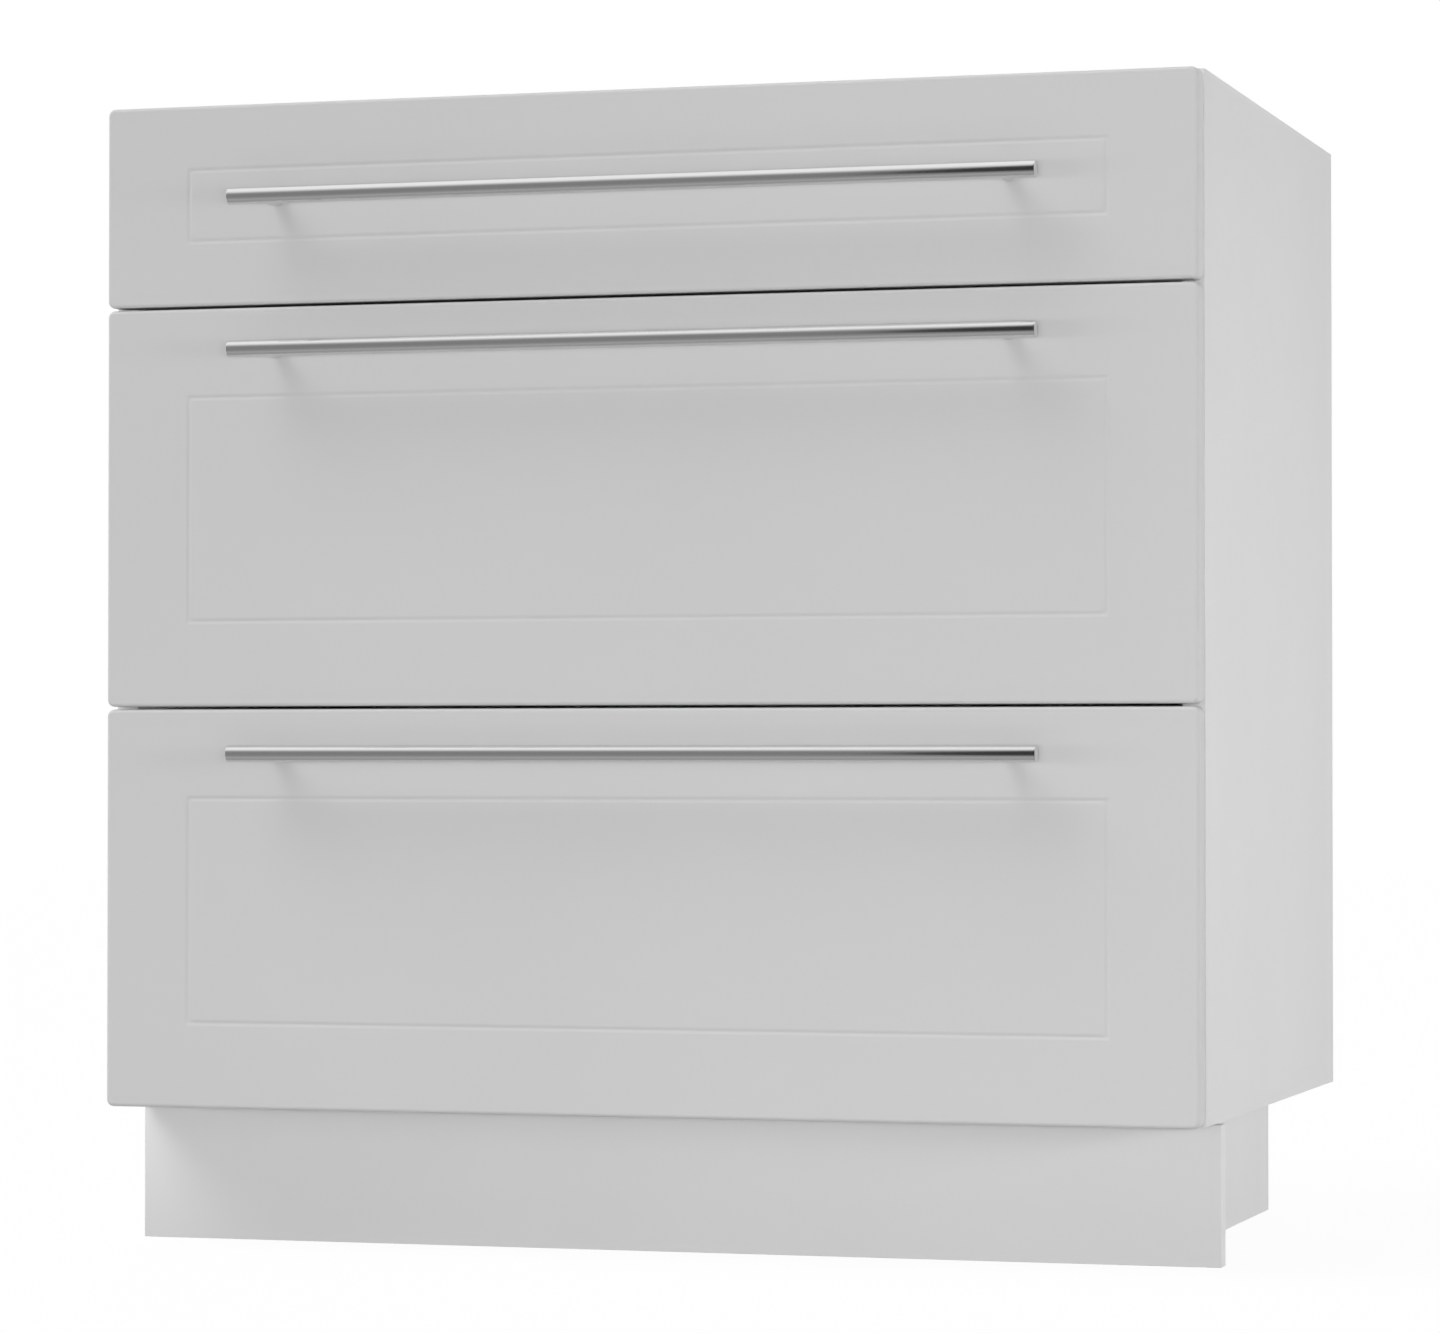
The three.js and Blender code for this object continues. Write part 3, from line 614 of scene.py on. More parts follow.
FOOT_RIM_HEIGHT = 0.004
FOOT_CONE_TOP = 0.012
FOOT_GRIPS = 12
FOOT_GRIP_DEPTH = 0.0009
FOOT_STEM_RADIUS = 0.011
FOOT_TIP_CHAMFER = 0.0006
FOOT_EDGE = 0.001
FOOT_SIDES = 72
THREAD_PITCH = 0.004
THREAD_DEPTH = 0.0011
THREAD_RISE = 0.15
THREAD_CREST = 0.30
THREAD_LEAD_IN = 0.0015
THREAD_PLAIN_ENDS = 0.004
THREAD_SLICE = THREAD_PITCH / 10


def thread_height(turn):
    """How far out a trapezoid thread stands, from 0 to 1, over one pitch."""
    turn %= 1.0
    if turn < THREAD_CREST:
        return 1.0
    if turn < THREAD_CREST + THREAD_RISE:
        return 1.0 - (turn - THREAD_CREST) / THREAD_RISE
    if turn < 1.0 - THREAD_RISE:
        return 0.0
    return (turn - 1.0 + THREAD_RISE) / THREAD_RISE


def foot_mesh():
    """A screw foot on the origin, as rings whose radius changes with the angle and the height."""
    low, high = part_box("foot_front_left")
    rim, top = (high.x - low.x) / 2, high.z - low.z
    rise = FOOT_CONE_TOP - FOOT_RIM_HEIGHT
    core = FOOT_STEM_RADIUS - THREAD_DEPTH

    def plain(radius):
        return lambda z, angle: radius

    def grip(z, angle):
        share = (z - FOOT_RIM_HEIGHT) / rise
        cone = rim + (FOOT_STEM_RADIUS - rim) * share
        return cone - FOOT_GRIP_DEPTH * math.sin(math.pi * share) * (0.5 + 0.5 * math.cos(FOOT_GRIPS * angle))

    def thread(z, angle):
        return FOOT_STEM_RADIUS - THREAD_DEPTH * (1 - thread_height(z / THREAD_PITCH - angle / (2 * math.pi)))

    levels = [
        (0.0, plain(rim - FOOT_EDGE)),
        (0.3 * FOOT_EDGE, plain(rim - 0.3 * FOOT_EDGE)),
        (FOOT_EDGE, plain(rim)),
        (FOOT_RIM_HEIGHT - FOOT_EDGE / 2, plain(rim)),
    ]
    levels += [(FOOT_RIM_HEIGHT + rise * i / 8, grip) for i in range(9)]
    levels.append((FOOT_CONE_TOP + FOOT_EDGE, plain(core)))
    slices = round((top - FOOT_CONE_TOP - THREAD_PLAIN_ENDS) / THREAD_SLICE)
    levels += [(FOOT_CONE_TOP + THREAD_LEAD_IN + i * THREAD_SLICE, thread) for i in range(slices)]
    levels.append((top - FOOT_EDGE, plain(core)))
    levels.append((top, plain(core - FOOT_TIP_CHAMFER)))
    form = bmesh.new()
    angles = [2 * math.pi * i / FOOT_SIDES for i in range(FOOT_SIDES)]
    loops = []
    for z, radius in levels:
        ring = [(radius(z, turn) * math.cos(turn), radius(z, turn) * math.sin(turn), z) for turn in angles]
        loops.append([form.verts.new(point) for point in ring])
    skin(form, loops)
    form.faces.new(list(reversed(loops[0])))
    form.faces.new(loops[-1])
    mesh = bpy.data.meshes.new("screw_foot")
    form.to_mesh(mesh)
    form.free()
    mesh.materials.append(BLACK_PLASTIC)
    mesh.set_sharp_from_angle(angle=math.radians(35))
    return mesh


FOOT = foot_mesh()
for row, side in CORNERS:
    node_name = f"foot_{row}_{side}"
    low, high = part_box(node_name)
    mesh = FOOT.copy()
    mesh.transform(Matrix.Translation(((low.x + high.x) / 2, (low.y + high.y) / 2, low.z)))
    placed(node_name + "_screw", mesh, node_name, node_name)

# ---- Telescopic runners --------------------------------------------------------------------------
# Each runner is three channels rolled from zinc-plated strip, nested so that they slide on rows of
# balls. Screws hold the outer channel to the cabinet and the inner one to the drawer.

RUNNER_HOLES = (0.037, 0.225, 0.413)
RUNNER_STEEL = 0.00125
DRAWERS = ("lower", "middle", "upper")
INWARDS = {"left": 1, "right": -1}
BODY_OF = {
    "cabinet_member": "cabinet",
    "intermediate_member": "{}_intermediate_members",
    "drawer_member": "{}_drawer",
}
ALONG_AN_AXIS = 0.999


def rolled_member(drawer, member, side):
    """A CAD channel with its bends shaded round and its flats flat."""
    cad_node = f"{drawer}_runner_{member}_{side}"
    body = BODY_OF[member].format(drawer)
    form = packed_form(cad_node)
    for face in form.faces:
        face.smooth = max(abs(part) for part in face.normal) < ALONG_AN_AXIS
    piece(cad_node + "_channel", form, [ZINC], body, cad_node, crease=50)


FLAT_SCREW = pan_head("flat_screw_head", radius=0.0033, height=0.0008, finished=ZINC)
for drawer in DRAWERS:
    for side, inwards in INWARDS.items():
        for member in BODY_OF:
            rolled_member(drawer, member, side)
        for member, head_side in (("cabinet_member", inwards), ("drawer_member", -inwards)):
            low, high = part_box(f"{drawer}_runner_{member}_{side}")
            web = (low.x if head_side > 0 else high.x) + head_side * RUNNER_STEEL
            heads = [((head_side, 0, 0), (web, low.y + hole, (low.z + high.z) / 2)) for hole in RUNNER_HOLES]
            body = BODY_OF[member].format(drawer)
            screws(f"{drawer}_runner_{member}_{side}_screws", FLAT_SCREW, heads, body)

# ---- Ball cages ----------------------------------------------------------------------------------
# A thin zinc-plated strip folded round the middle channel of each runner. Its flanges hold two rows of
# hardened steel balls at their distance.

CAGE_STEEL = 0.0005
CAGE_BEND = 0.0006
BALL_RADIUS = 0.002
BALL_CENTRE = 0.005
CAGE_EDGE = 0.006
BALLS_IN_ROW = 10
CAGE_BALL_MARGIN = 0.008


def polished_ball_steel(name):
    """Hardened steel, mirror bright under a film of grease."""
    material = finish(name, Metallic=1.0, Base_Color=(0.62, 0.62, 0.63, 1))
    film = noise(material, place(material), 300.0, detail=3.0)
    feed(material, "Roughness", spread(material, film, 0.06, 0.18))
    return material


def folded_outline(line, thickness, bend, steps=5):
    """The outline of a strip along a line of points whose right-angled corners all turn the same way."""
    inside, outside = [], []
    legs = [(b - a).normalized() for a, b in zip(line, line[1:])]
    inside.append(line[0] + legs[1] * thickness / 2)
    outside.append(line[0] - legs[1] * thickness / 2)
    for corner, before, after in zip(line[1:-1], legs, legs[1:]):
        centre = corner + (after - before) * bend
        for angle in quarter_turn(steps):
            out = before * math.sin(angle) - after * math.cos(angle)
            inside.append(centre + out * (bend - thickness / 2))
            outside.append(centre + out * (bend + thickness / 2))
    inside.append(line[-1] - legs[-2] * thickness / 2)
    outside.append(line[-1] + legs[-2] * thickness / 2)
    return outside + inside[::-1]


def ball_cage(drawer, side, inwards):
    """A folded strip, and its balls as one piece."""
    cad_node = f"{drawer}_runner_ball_cage_{side}"
    low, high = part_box(cad_node)
    wall = low.x if side == "left" else high.x
    middle, row_z = (low.z + high.z) / 2, (high.z - low.z) / 2 - BALL_RADIUS
    web, edge = wall + inwards * CAGE_STEEL / 2, wall + inwards * CAGE_EDGE
    line = [
        Vector((edge, low.y, middle + row_z)),
        Vector((web, low.y, middle + row_z)),
        Vector((web, low.y, middle - row_z)),
        Vector((edge, low.y, middle - row_z)),
    ]
    form = bmesh.new()
    prism(form, folded_outline(line, CAGE_STEEL, CAGE_BEND), Vector((0, high.y - low.y, 0)))
    bmesh.ops.recalc_face_normals(form, faces=form.faces)
    body = f"{drawer}_ball_cages"
    piece(cad_node + "_strip", form, [ZINC], body, cad_node, crease=50)
    form = bmesh.new()
    pitch = (high.y - low.y - 2 * CAGE_BALL_MARGIN) / (BALLS_IN_ROW - 1)
    for z in (middle - row_z, middle + row_z):
        for i in range(BALLS_IN_ROW):
            at = Matrix.Translation((wall + inwards * BALL_CENTRE, low.y + CAGE_BALL_MARGIN + i * pitch, z))
            bmesh.ops.create_uvsphere(form, u_segments=16, v_segments=10, radius=BALL_RADIUS, matrix=at)
    for face in form.faces:
        face.smooth = True
    piece(cad_node + "_balls", form, [BALL_STEEL], body)


BALL_STEEL = polished_ball_steel("ball_steel")
for drawer in DRAWERS:
    for side, inwards in INWARDS.items():
        ball_cage(drawer, side, inwards)

# ---- Drawer boxes --------------------------------------------------------------------------------
# White chipboard again: sides and back 16 mm thick with edged tops, and a bottom let into grooves in
# the sides. The front is the box's fourth wall. Screws hold the sides to the back, and cams under
# white plastic covers hold them to the front.

CAM_COVER_RADIUS = 0.0085
CAM_COVER_HEIGHT = 0.0010
CAM_COVER_EDGE = 0.0010
CAM_COVER = [
    (0, 0),
    (CAM_COVER_RADIUS, 0),
    (CAM_COVER_RADIUS, CAM_COVER_HEIGHT * 0.4),
    (CAM_COVER_RADIUS - CAM_COVER_EDGE * 0.3, CAM_COVER_HEIGHT * 0.8),
    (CAM_COVER_RADIUS - CAM_COVER_EDGE, CAM_COVER_HEIGHT),
    (0, CAM_COVER_HEIGHT),
]
CAM_FROM_END = 0.034
CAM_FROM_EDGE = 0.034
LOW_CAM_FROM_EDGE = 0.0476
SHALLOW_CAM_LIFT = 0.01
BOX_SCREW_FROM_END = 0.008
BOX_SCREW_FROM_EDGE = 0.02


def cap_plastic(name, color):
    """Injection-moulded caps: smooth, a little whiter and glossier than the boards round them."""
    material = finish(name, Base_Color=color, Specular_IOR_Level=0.5)
    feed(material, "Roughness", spread(material, noise(material, place(material), 120.0), 0.26, 0.34))
    return material


def covers(name, places, body):
    """Round covers as one piece. places lists the directions that they face and their points."""
    form = bmesh.new()
    for direction, point in places:
        revolve(form, CAM_COVER, sides=40, at=facing(direction, point))
    piece(name, form, [CAP_WHITE], body, crease=50)


def drawer_box(drawer):
    """Four boards, their cams' covers and their screws. A shallow side has room for one of each."""
    body = f"{drawer}_drawer"
    board(f"{body}_side_left", body, ["+z"])
    board(f"{body}_side_right", body, ["+z"])
    board(f"{body}_back", body, ["+z"])
    board(f"{body}_bottom", body, [])
    cams, heads = [], []
    for side, inwards in INWARDS.items():
        low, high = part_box(f"{body}_side_{side}")
        inner, outer = (high.x, low.x) if side == "left" else (low.x, high.x)
        tall = high.z - low.z > 4 * CAM_FROM_EDGE
        runner_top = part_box(f"{drawer}_runner_cabinet_member_{side}")[1].z
        if tall:
            levels = (low.z + LOW_CAM_FROM_EDGE, high.z - CAM_FROM_EDGE)
            rows = (runner_top + BOX_SCREW_FROM_EDGE, high.z - BOX_SCREW_FROM_EDGE)
        else:
            levels = ((low.z + high.z) / 2 + SHALLOW_CAM_LIFT,)
            rows = (runner_top + BOX_SCREW_FROM_EDGE / 2,)
        cams += [((inwards, 0, 0), (inner, low.y + CAM_FROM_END, z)) for z in levels]
        heads += [((-inwards, 0, 0), (outer, high.y - BOX_SCREW_FROM_END, z)) for z in rows]
    covers(f"{body}_cam_covers", cams, body)
    screws(f"{body}_box_screws", FLAT_SCREW, heads, body)


CAP_WHITE = cap_plastic("white_cap_plastic", (0.73, 0.73, 0.73, 1))
for drawer in DRAWERS:
    drawer_box(drawer)

# ---- Drawer fronts -------------------------------------------------------------------------------
# Fibreboard 18 mm thick, cut with rounded edges and a groove round the middle panel, then wrapped in
# matt white film by a vacuum press. The back keeps its flat melamine face.

FRONT_CORNER = 0.005
FRONT_EDGE = 0.0025
FRONT_BACK_CHAMFER = 0.0005
FLAT_MARGIN = 0.0004
GROOVE_WIDTH = 0.0065
GROOVE_DEPTH = 0.0006
GROOVE_SKEW = 1.6
GROOVE_SIDE = 0.0602
GROOVE_TOP = {"lower": 0.0607, "middle": 0.0607, "upper": 0.0432}
GROOVE_BOTTOM = {"lower": 0.0578, "middle": 0.0578, "upper": 0.0432}
GROOVE_OUTER_CORNER = 0.0006
GROOVE_INNER_CORNER = 0.0045
CORNER_STEPS = 10
EDGE_STEPS = 8
GROOVE_STEPS = 20


def pressed_film(name, color):
    """Matt film drawn over fibreboard: a faint orange peel and slow waves in its gloss."""
    material = finish(name, Specular_IOR_Level=0.4)
    where = place(material)
    cloud = noise(material, where, 4.0)
    feed(material, "Base Color", ramp(material, cloud, (0.35, dimmed(color, 0.985)), (0.65, color)))
    feed(material, "Roughness", spread(material, noise(material, where, 18.0, detail=4.0), 0.40, 0.48))
    peel = grain(material, noise(material, where, 260.0), depth=0.00002, strength=0.5)
    pores = noise(material, where, 2200.0)
    feed(material, "Normal", grain(material, pores, depth=0.00001, strength=0.5, under=peel))
    return material


def rounded_rectangle(half_width, half_height, radius):
    """Points (x, z) about the origin, anticlockwise."""
    points = []
    for sx, sz, turn in ((1, 1, 0), (-1, 1, 1), (-1, -1, 2), (1, -1, 3)):
        for i in range(CORNER_STEPS + 1):
            angle = (turn + i / CORNER_STEPS) * math.pi / 2
            x = sx * (half_width - radius) + radius * math.cos(angle)
            points.append((x, sz * (half_height - radius) + radius * math.sin(angle)))
    return points


def groove_depth(share):
    """Depth at a share of the groove's width: soft lips and a narrow rounded bottom."""
    from_lip = 1 - abs(2 * share - 1)
    return GROOVE_DEPTH * (0.5 - 0.5 * math.cos(math.pi * from_lip ** GROOVE_SKEW))


def drawer_front(drawer):
    """A skin over rounded rectangles, from the back round the edge to the groove's bottom and the panel."""
    cad_node = f"{drawer}_drawer_front"
    low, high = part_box(cad_node)
    middle, half = (low + high) / 2, (high - low) / 2
    face, back = low.y, high.y
    form = bmesh.new()

    def ring(side, top, bottom, radius, y):
        points = rounded_rectangle(half.x - side, half.z - (top + bottom) / 2, radius)
        return [form.verts.new((middle.x + x, y, middle.z + (bottom - top) / 2 + z)) for x, z in points]

    def body(inset, y):
        return ring(inset, inset, inset, FRONT_CORNER - inset, y)

    rings = [
        body(FRONT_BACK_CHAMFER, back),
        body(0, back - FRONT_BACK_CHAMFER),
        body(0, back - FRONT_BACK_CHAMFER - FLAT_MARGIN),
        body(0, face + FRONT_EDGE + FLAT_MARGIN),
    ]
    for angle in quarter_turn(EDGE_STEPS):
        rings.append(body(FRONT_EDGE * (1 - math.cos(angle)), face + FRONT_EDGE * (1 - math.sin(angle))))
    rings.append(body(FRONT_EDGE + FLAT_MARGIN, face))
    side, top, bottom = GROOVE_SIDE, GROOVE_TOP[drawer], GROOVE_BOTTOM[drawer]
    for i in range(GROOVE_STEPS + 1):
        share = i / GROOVE_STEPS
        inset = GROOVE_WIDTH * share
        radius = GROOVE_OUTER_CORNER + (GROOVE_INNER_CORNER - GROOVE_OUTER_CORNER) * share
        rings.append(ring(side + inset, top + inset, bottom + inset, radius, face + groove_depth(share)))
    skin(form, rings)
    form.faces.new(rings[0][::-1]).material_index = 1
    form.faces.new(rings[-1])
    finishes = [FRONT_FILM, PANEL_WHITE]
    piece(f"{drawer}_front_panel", form, finishes, f"{drawer}_drawer", cad_node, crease=30)


FRONT_FILM = pressed_film("matt_white_film", (0.60, 0.60, 0.60, 1))
for drawer in DRAWERS:
    drawer_front(drawer)

# ---- Bumpers -------------------------------------------------------------------------------------
# Milky soft domes stuck to the backs of the fronts, near their corners. They meet the side panels'
# front edges and keep the fronts 2 mm off them.

BUMPER_RADIUS = 0.004
BUMPER_HEIGHT = 0.0018
BUMPER_FROM_EDGE = 0.028


def milky_rubber(name):
    """Soft polyurethane, milky clear."""
    material = finish(name, Base_Color=(0.74, 0.76, 0.76, 1), Transmission_Weight=0.2, IOR=1.49)
    feed(material, "Roughness", spread(material, noise(material, place(material), 200.0), 0.12, 0.22))
    return material


MILKY_RUBBER = milky_rubber("milky_rubber")
dome = [(0, 0)]
for angle in quarter_turn(steps=8)[:-1]:
    dome.append((BUMPER_RADIUS * math.cos(angle), BUMPER_HEIGHT * math.sin(angle)))
dome.append((0, BUMPER_HEIGHT))
for drawer in DRAWERS:
    low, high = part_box(f"{drawer}_drawer_front")
    form = bmesh.new()
    for side in ("left", "right"):
        panel_low, panel_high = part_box(f"side_panel_{side}")
        for z in (low.z + BUMPER_FROM_EDGE, high.z - BUMPER_FROM_EDGE):
            spot = ((panel_low.x + panel_high.x) / 2, high.y, z)
            revolve(form, dome, sides=28, at=facing(REARWARDS, spot))
    piece(f"{drawer}_front_bumpers", form, [MILKY_RUBBER], f"{drawer}_drawer", crease=60)

# ---- Bar handles ---------------------------------------------------------------------------------
# Stainless steel bar, 12 mm across, on two posts welded to it. Bar and posts are polished along the
# bar, and the ends are turned flat with a small chamfer. A screw through the front holds each post.

POST_RADIUS = 0.005
POST_SPACING = 0.536
POST_SIDES = 48
WELD = 0.0006
WELD_ROOT = 0.0001
BAR_CHAMFER = 0.0005
WASHER_RADIUS = 0.0055
WASHER_HEIGHT = 0.0008


def satin_steel(name):
    """Polished along the bar: fine lines that stretch what it mirrors across them."""
    material = finish(name, Metallic=1.0, Base_Color=(0.80, 0.80, 0.795, 1), Anisotropic=0.97)
    lines = noise(material, place(material, (4.0, 900.0, 900.0)), 3.0, detail=4.0, roughness=0.6)
    feed(material, "Roughness", spread(material, lines, 0.12, 0.17))
    feed(material, "Normal", grain(material, lines, depth=0.000004, strength=0.3))
    round_bar = node(material, "Tangent", direction_type="RADIAL", axis="X")
    feed(material, "Tangent", round_bar.outputs["Tangent"])
    return material


def bar_handle(drawer):
    """A bar with its two posts, and the washers and screws behind the front."""
    cad_node = f"{drawer}_drawer_handle"
    low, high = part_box(cad_node)
    radius = (high.z - low.z) / 2
    axis_y, axis_z = low.y + radius, (low.z + high.z) / 2
    length = high.x - low.x
    turned_end = [
        (0, 0),
        (radius - BAR_CHAMFER, 0),
        (radius - BAR_CHAMFER / 3, BAR_CHAMFER / 3),
        (radius, BAR_CHAMFER),
        (radius, 2 * BAR_CHAMFER),
    ]
    outline = turned_end + [(r, length - x) for r, x in reversed(turned_end)]
    form = bmesh.new()
    revolve(form, outline, sides=96, at=facing((1, 0, 0), (low.x, axis_y, axis_z)))

    def post_ring(centre, r, lift):
        """A ring round a post, where it meets the bar when lift is a distance off the bar's surface."""
        ring = []
        for i in range(POST_SIDES):
            angle = 2 * math.pi * i / POST_SIDES
            x, z = r * math.cos(angle), r * math.sin(angle)
            y = high.y if lift is None else axis_y + math.sqrt(radius ** 2 - z ** 2) + lift
            ring.append(form.verts.new((centre + x, y, axis_z + z)))
        return ring

    for centre in (-POST_SPACING / 2, POST_SPACING / 2):
        rings = [
            post_ring(centre, POST_RADIUS, None),
            post_ring(centre, POST_RADIUS, 2 * WELD),
            post_ring(centre, POST_RADIUS + 0.3 * WELD, 0.7 * WELD),
            post_ring(centre, POST_RADIUS + WELD, -WELD_ROOT),
        ]
        for first, second in zip(rings, rings[1:]):
            for i in range(POST_SIDES):
                n = (i + 1) % POST_SIDES
                form.faces.new((first[i], second[i], second[n], first[n])).smooth = True
        form.faces.new(rings[0])
        form.faces.new(rings[-1][::-1])
    bmesh.ops.recalc_face_normals(form, faces=form.faces)
    body = f"{drawer}_drawer"
    piece(f"{drawer}_bar_handle", form, [SATIN_STEEL], body, cad_node, crease=40)
    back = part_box(f"{drawer}_drawer_front")[1].y
    posts = [Vector((x, back, axis_z)) for x in (-POST_SPACING / 2, POST_SPACING / 2)]
    washer = [(0, 0), (WASHER_RADIUS, 0), (WASHER_RADIUS, WASHER_HEIGHT), (0, WASHER_HEIGHT)]
    form = bmesh.new()
    for post in posts:
        revolve(form, washer, sides=40, at=facing(REARWARDS, post))
    piece(f"{drawer}_handle_washers", form, [ZINC], body, crease=40)
    on_washer = Vector((0, WASHER_HEIGHT, 0))
    heads = [(REARWARDS, post + on_washer) for post in posts]
    screws(f"{drawer}_handle_screws", MACHINE_SCREW, heads, body)


SATIN_STEEL = satin_steel("satin_stainless_steel")
MACHINE_SCREW = pan_head("machine_screw_head", radius=0.004, height=0.0024, finished=ZINC)
for drawer in DRAWERS:
    bar_handle(drawer)

# ---- Camera --------------------------------------------------------------------------------------
# The photograph was taken from low down at the right, with a long lens, so that the right side
# panel and the plinth's return show, and the upright edges lean in only a little.

EYE = Vector((1.05783, -3.57325, 0.34929))
LINE_OF_SIGHT = Vector((-0.286753, 0.957823, 0.018655))
FOCAL_LENGTH = 125.02

camera = bpy.data.objects.new("camera", bpy.data.cameras.new("camera"))
camera.data.sensor_fit = "HORIZONTAL"
camera.data.sensor_width = 36.0
camera.data.lens = FOCAL_LENGTH
camera.location = EYE
camera.rotation_euler = LINE_OF_SIGHT.to_track_quat("-Z", "Y").to_euler()
bpy.context.scene.collection.objects.link(camera)
bpy.context.scene.camera = camera

# ---- Studio --------------------------------------------------------------------------------------
# A white cove with a broad light high at the left and long low soft boxes round the cabinet at the
# camera's height. Grey flags, seen only in the polished steel, give the handles their bands.

WALL_LIGHT = 0.30
FLOOR_LIGHT = 0.42
FLOOR_GLOW = 0.95
HIGH_SUN = 1.95
LEFT_LAMP = 24.5
KEY_LAMP = 34.2
LOW_LAMP = 0.41
RIGHT_LAMP = 13.9
BACK_LAMP = 16.3
REAR_SUN = 1.1
HIGH_SUN_WIDTH = math.radians(42)
REAR_SUN_WIDTH = math.radians(14)
MIDDLE = (0.0, -0.25, 0.45)
FLOOR_Z = -0.0004
FLOOR_REACH = 12.0


def direct_or(owner, other, direct):
    """One number for what the camera sees itself, in metal or through glass, and another for the rest.
    The owner of its nodes is a material or the world."""
    path = node(owner, "LightPath").outputs
    total = path["Is Camera Ray"]
    for kind in ("Is Glossy Ray", "Is Transmission Ray"):
        add = node(owner, "Math", {0: total, 1: path[kind]}, operation="ADD", use_clamp=True)
        total = add.outputs[0]
    return spread(owner, total, other, direct)


def show(material, shader):
    """Makes a shader the one that a material shows."""
    tree = material.node_tree
    tree.links.new(shader.outputs[0], tree.nodes["Material Output"].inputs["Surface"])


def rectangle(left, right, near, far):
    """The corners of a rectangle, in order round it."""
    return [(left, near), (right, near), (right, far), (left, far)]


def stage_plane(name, corners, material):
    """A flat sheet of the studio, which isn't part of the cabinet."""
    mesh = bpy.data.meshes.new(name)
    mesh.from_pydata(corners, [], [(0, 1, 2, 3)])
    mesh.materials.append(material)
    plane = bpy.data.objects.new(name, mesh)
    bpy.context.scene.collection.objects.link(plane)
    return plane


def lamp(name, kind, stand, aim, strength):
    """A light aimed from its stand. Polished steel doesn't show it."""
    data = bpy.data.lights.new(name, kind)
    data.energy = strength
    made = bpy.data.objects.new(name, data)
    made.location = stand
    made.rotation_euler = (Vector(aim) - Vector(stand)).to_track_quat("-Z", "Y").to_euler()
    made.visible_glossy = False
    made.visible_camera = False
    bpy.context.scene.collection.objects.link(made)
    return data


def soft_box(name, stand, aim, strength, width, height):
    """A broad, low area light, so that a bar's shadow stays behind the bar."""
    data = lamp(name, "AREA", stand, aim, strength)
    data.shape = "RECTANGLE"
    data.size = width
    data.size_y = height


def flag(name, corners, *stops):
    """A card that only polished surfaces see, with its brightness at heights given as shares of its own."""
    material = bpy.data.materials.new(name)
    material.use_nodes = True
    height = node(material, "SeparateXYZ", {"Vector": node(material, "TexCoord").outputs["Generated"]})
    greys = [(share, (level, level, level, 1)) for share, level in stops]
    show(material, node(material, "Emission", {"Color": ramp(material, height.outputs["Z"], *greys)}))
    card = stage_plane(name, corners, material)
    for ray in ("camera", "diffuse", "shadow", "transmission"):
        setattr(card, "visible_" + ray, False)


world = bpy.data.worlds.new("cove")
world.use_nodes = True
bpy.context.scene.world = world
cove = world.node_tree.nodes["Background"].inputs
cove["Color"].default_value = (1, 1, 1, 1)
world.node_tree.links.new(direct_or(world, WALL_LIGHT, 1.0), cove["Strength"])

white_floor = finish("white_floor", Base_Color=(0.9, 0.9, 0.9, 1), Roughness=0.9)
glow = node(white_floor, "Emission", {"Strength": direct_or(white_floor, FLOOR_LIGHT, 1.0)})
paint = white_floor.node_tree.nodes["Principled BSDF"]
show(white_floor, node(white_floor, "MixShader", {0: FLOOR_GLOW, 1: paint.outputs[0], 2: glow.outputs[0]}))
floor_corners = rectangle(-FLOOR_REACH, FLOOR_REACH, -FLOOR_REACH, FLOOR_REACH)
floor = stage_plane("floor", [(x, y, FLOOR_Z) for x, y in floor_corners], white_floor)
floor.visible_glossy = False

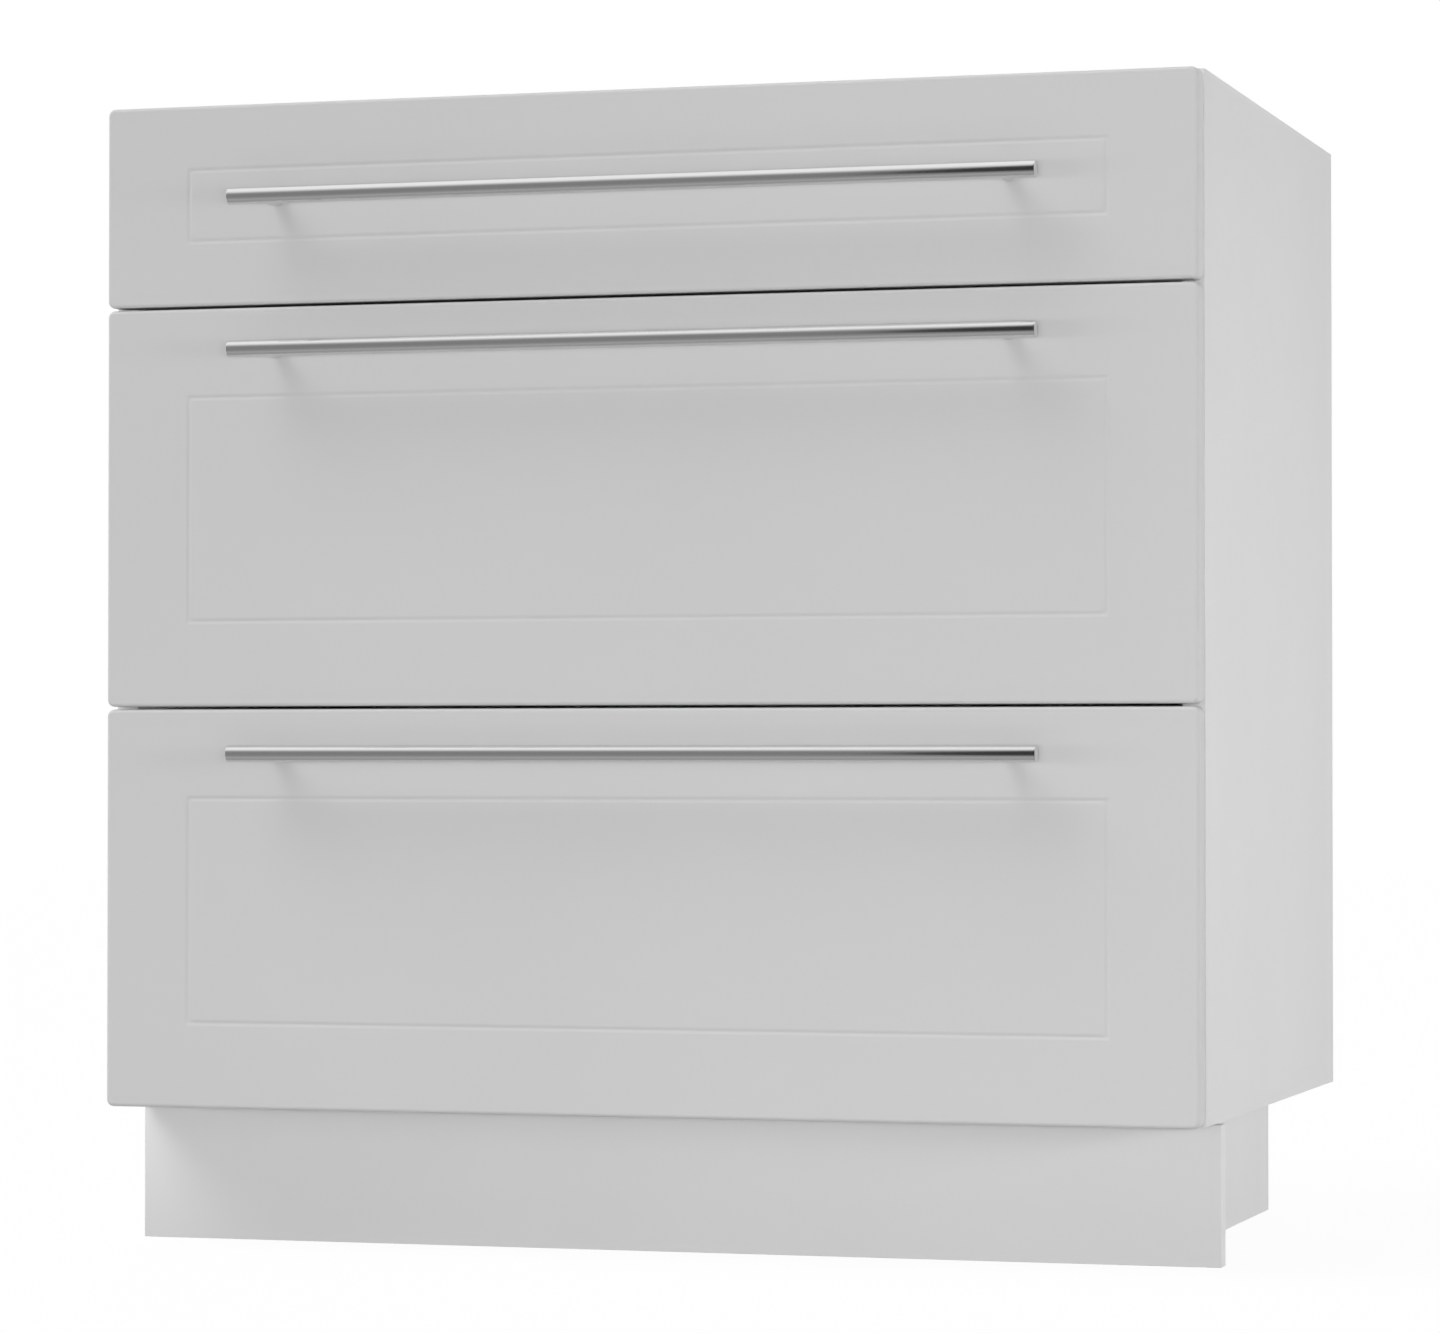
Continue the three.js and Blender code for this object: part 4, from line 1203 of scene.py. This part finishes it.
lamp("high_sun", "SUN", (-1.8, -1.2, 3.6), MIDDLE, HIGH_SUN).angle = HIGH_SUN_WIDTH
soft_box("left_lamp", (-3.0, -3.0, 0.40), MIDDLE, LEFT_LAMP, width=4.0, height=0.3)
soft_box("key_lamp", (1.06, -3.6, 0.36), MIDDLE, KEY_LAMP, width=1.2, height=0.15)
soft_box("low_lamp", (0.1, -1.0, 0.05), (0.05, -0.2, 0.10), LOW_LAMP, width=1.1, height=0.06)
soft_box("right_lamp", (2.6, -1.4, 0.5), (0.4, -0.2, 0.45), RIGHT_LAMP, width=1.8, height=0.3)
soft_box("back_lamp", (2.6, 0.9, 0.3), (0.4, 0.1, 0.4), BACK_LAMP, width=1.2, height=0.3)
lamp("rear_sun", "SUN", (-1.5, 4.5, 2.5), MIDDLE, REAR_SUN).angle = REAR_SUN_WIDTH

FLAG_DISTANCE = 5.0
HANDLE_LEVEL = 0.45
DARK_LEFT, DARK_RIGHT, GREY_LEFT = -1.05, 3.6, -9.0
LOW_FLAG_Z = -9.0
LOW_FLAG_GREY = 0.34
SIDE_FLAG_X = 6.0
SIDE_FLAG_GREY = 0.5


def wall_flag(name, left, right, *stops):
    """A flag in front of the cabinet. Each stop is an elevation in degrees, as the handles see it, and the
    brightness there."""
    elevations, levels = zip(*stops)
    heights = [HANDLE_LEVEL + FLAG_DISTANCE * math.tan(math.radians(elevation)) for elevation in elevations]
    low, high = heights[0], heights[-1]
    shares = [(height - low) / (high - low) for height in heights]
    corners = [(x, -FLAG_DISTANCE, z) for x, z in rectangle(left, right, low, high)]
    flag(name, corners, *zip(shares, levels))


DARK_STOPS = [(-42, 0.46), (-30, 0.18), (-15, 0.03), (30, 0.03), (45, 0.28), (60, 0.75), (66, 1.0)]
GREY_STOPS = [(-60, 0.48), (-42, 0.37), (-15, 0.235), (18, 0.235), (30, 0.30), (45, 0.68), (60, 1.0)]
wall_flag("dark_flag", DARK_LEFT, DARK_RIGHT, *DARK_STOPS)
wall_flag("grey_flag", GREY_LEFT, DARK_LEFT, *GREY_STOPS)
low_corners = [(x, y, LOW_FLAG_Z) for x, y in rectangle(GREY_LEFT, FLOOR_REACH, -14.0, 1.0)]
flag("low_flag", low_corners, (0.0, LOW_FLAG_GREY), (1.0, LOW_FLAG_GREY))
side_corners = [(SIDE_FLAG_X, y, z) for y, z in rectangle(-9.0, 7.0, -6.0, 7.0)]
flag("side_flag", side_corners, (0.0, SIDE_FLAG_GREY), (1.0, SIDE_FLAG_GREY))

bpy.context.scene.view_settings.view_transform = "Standard"
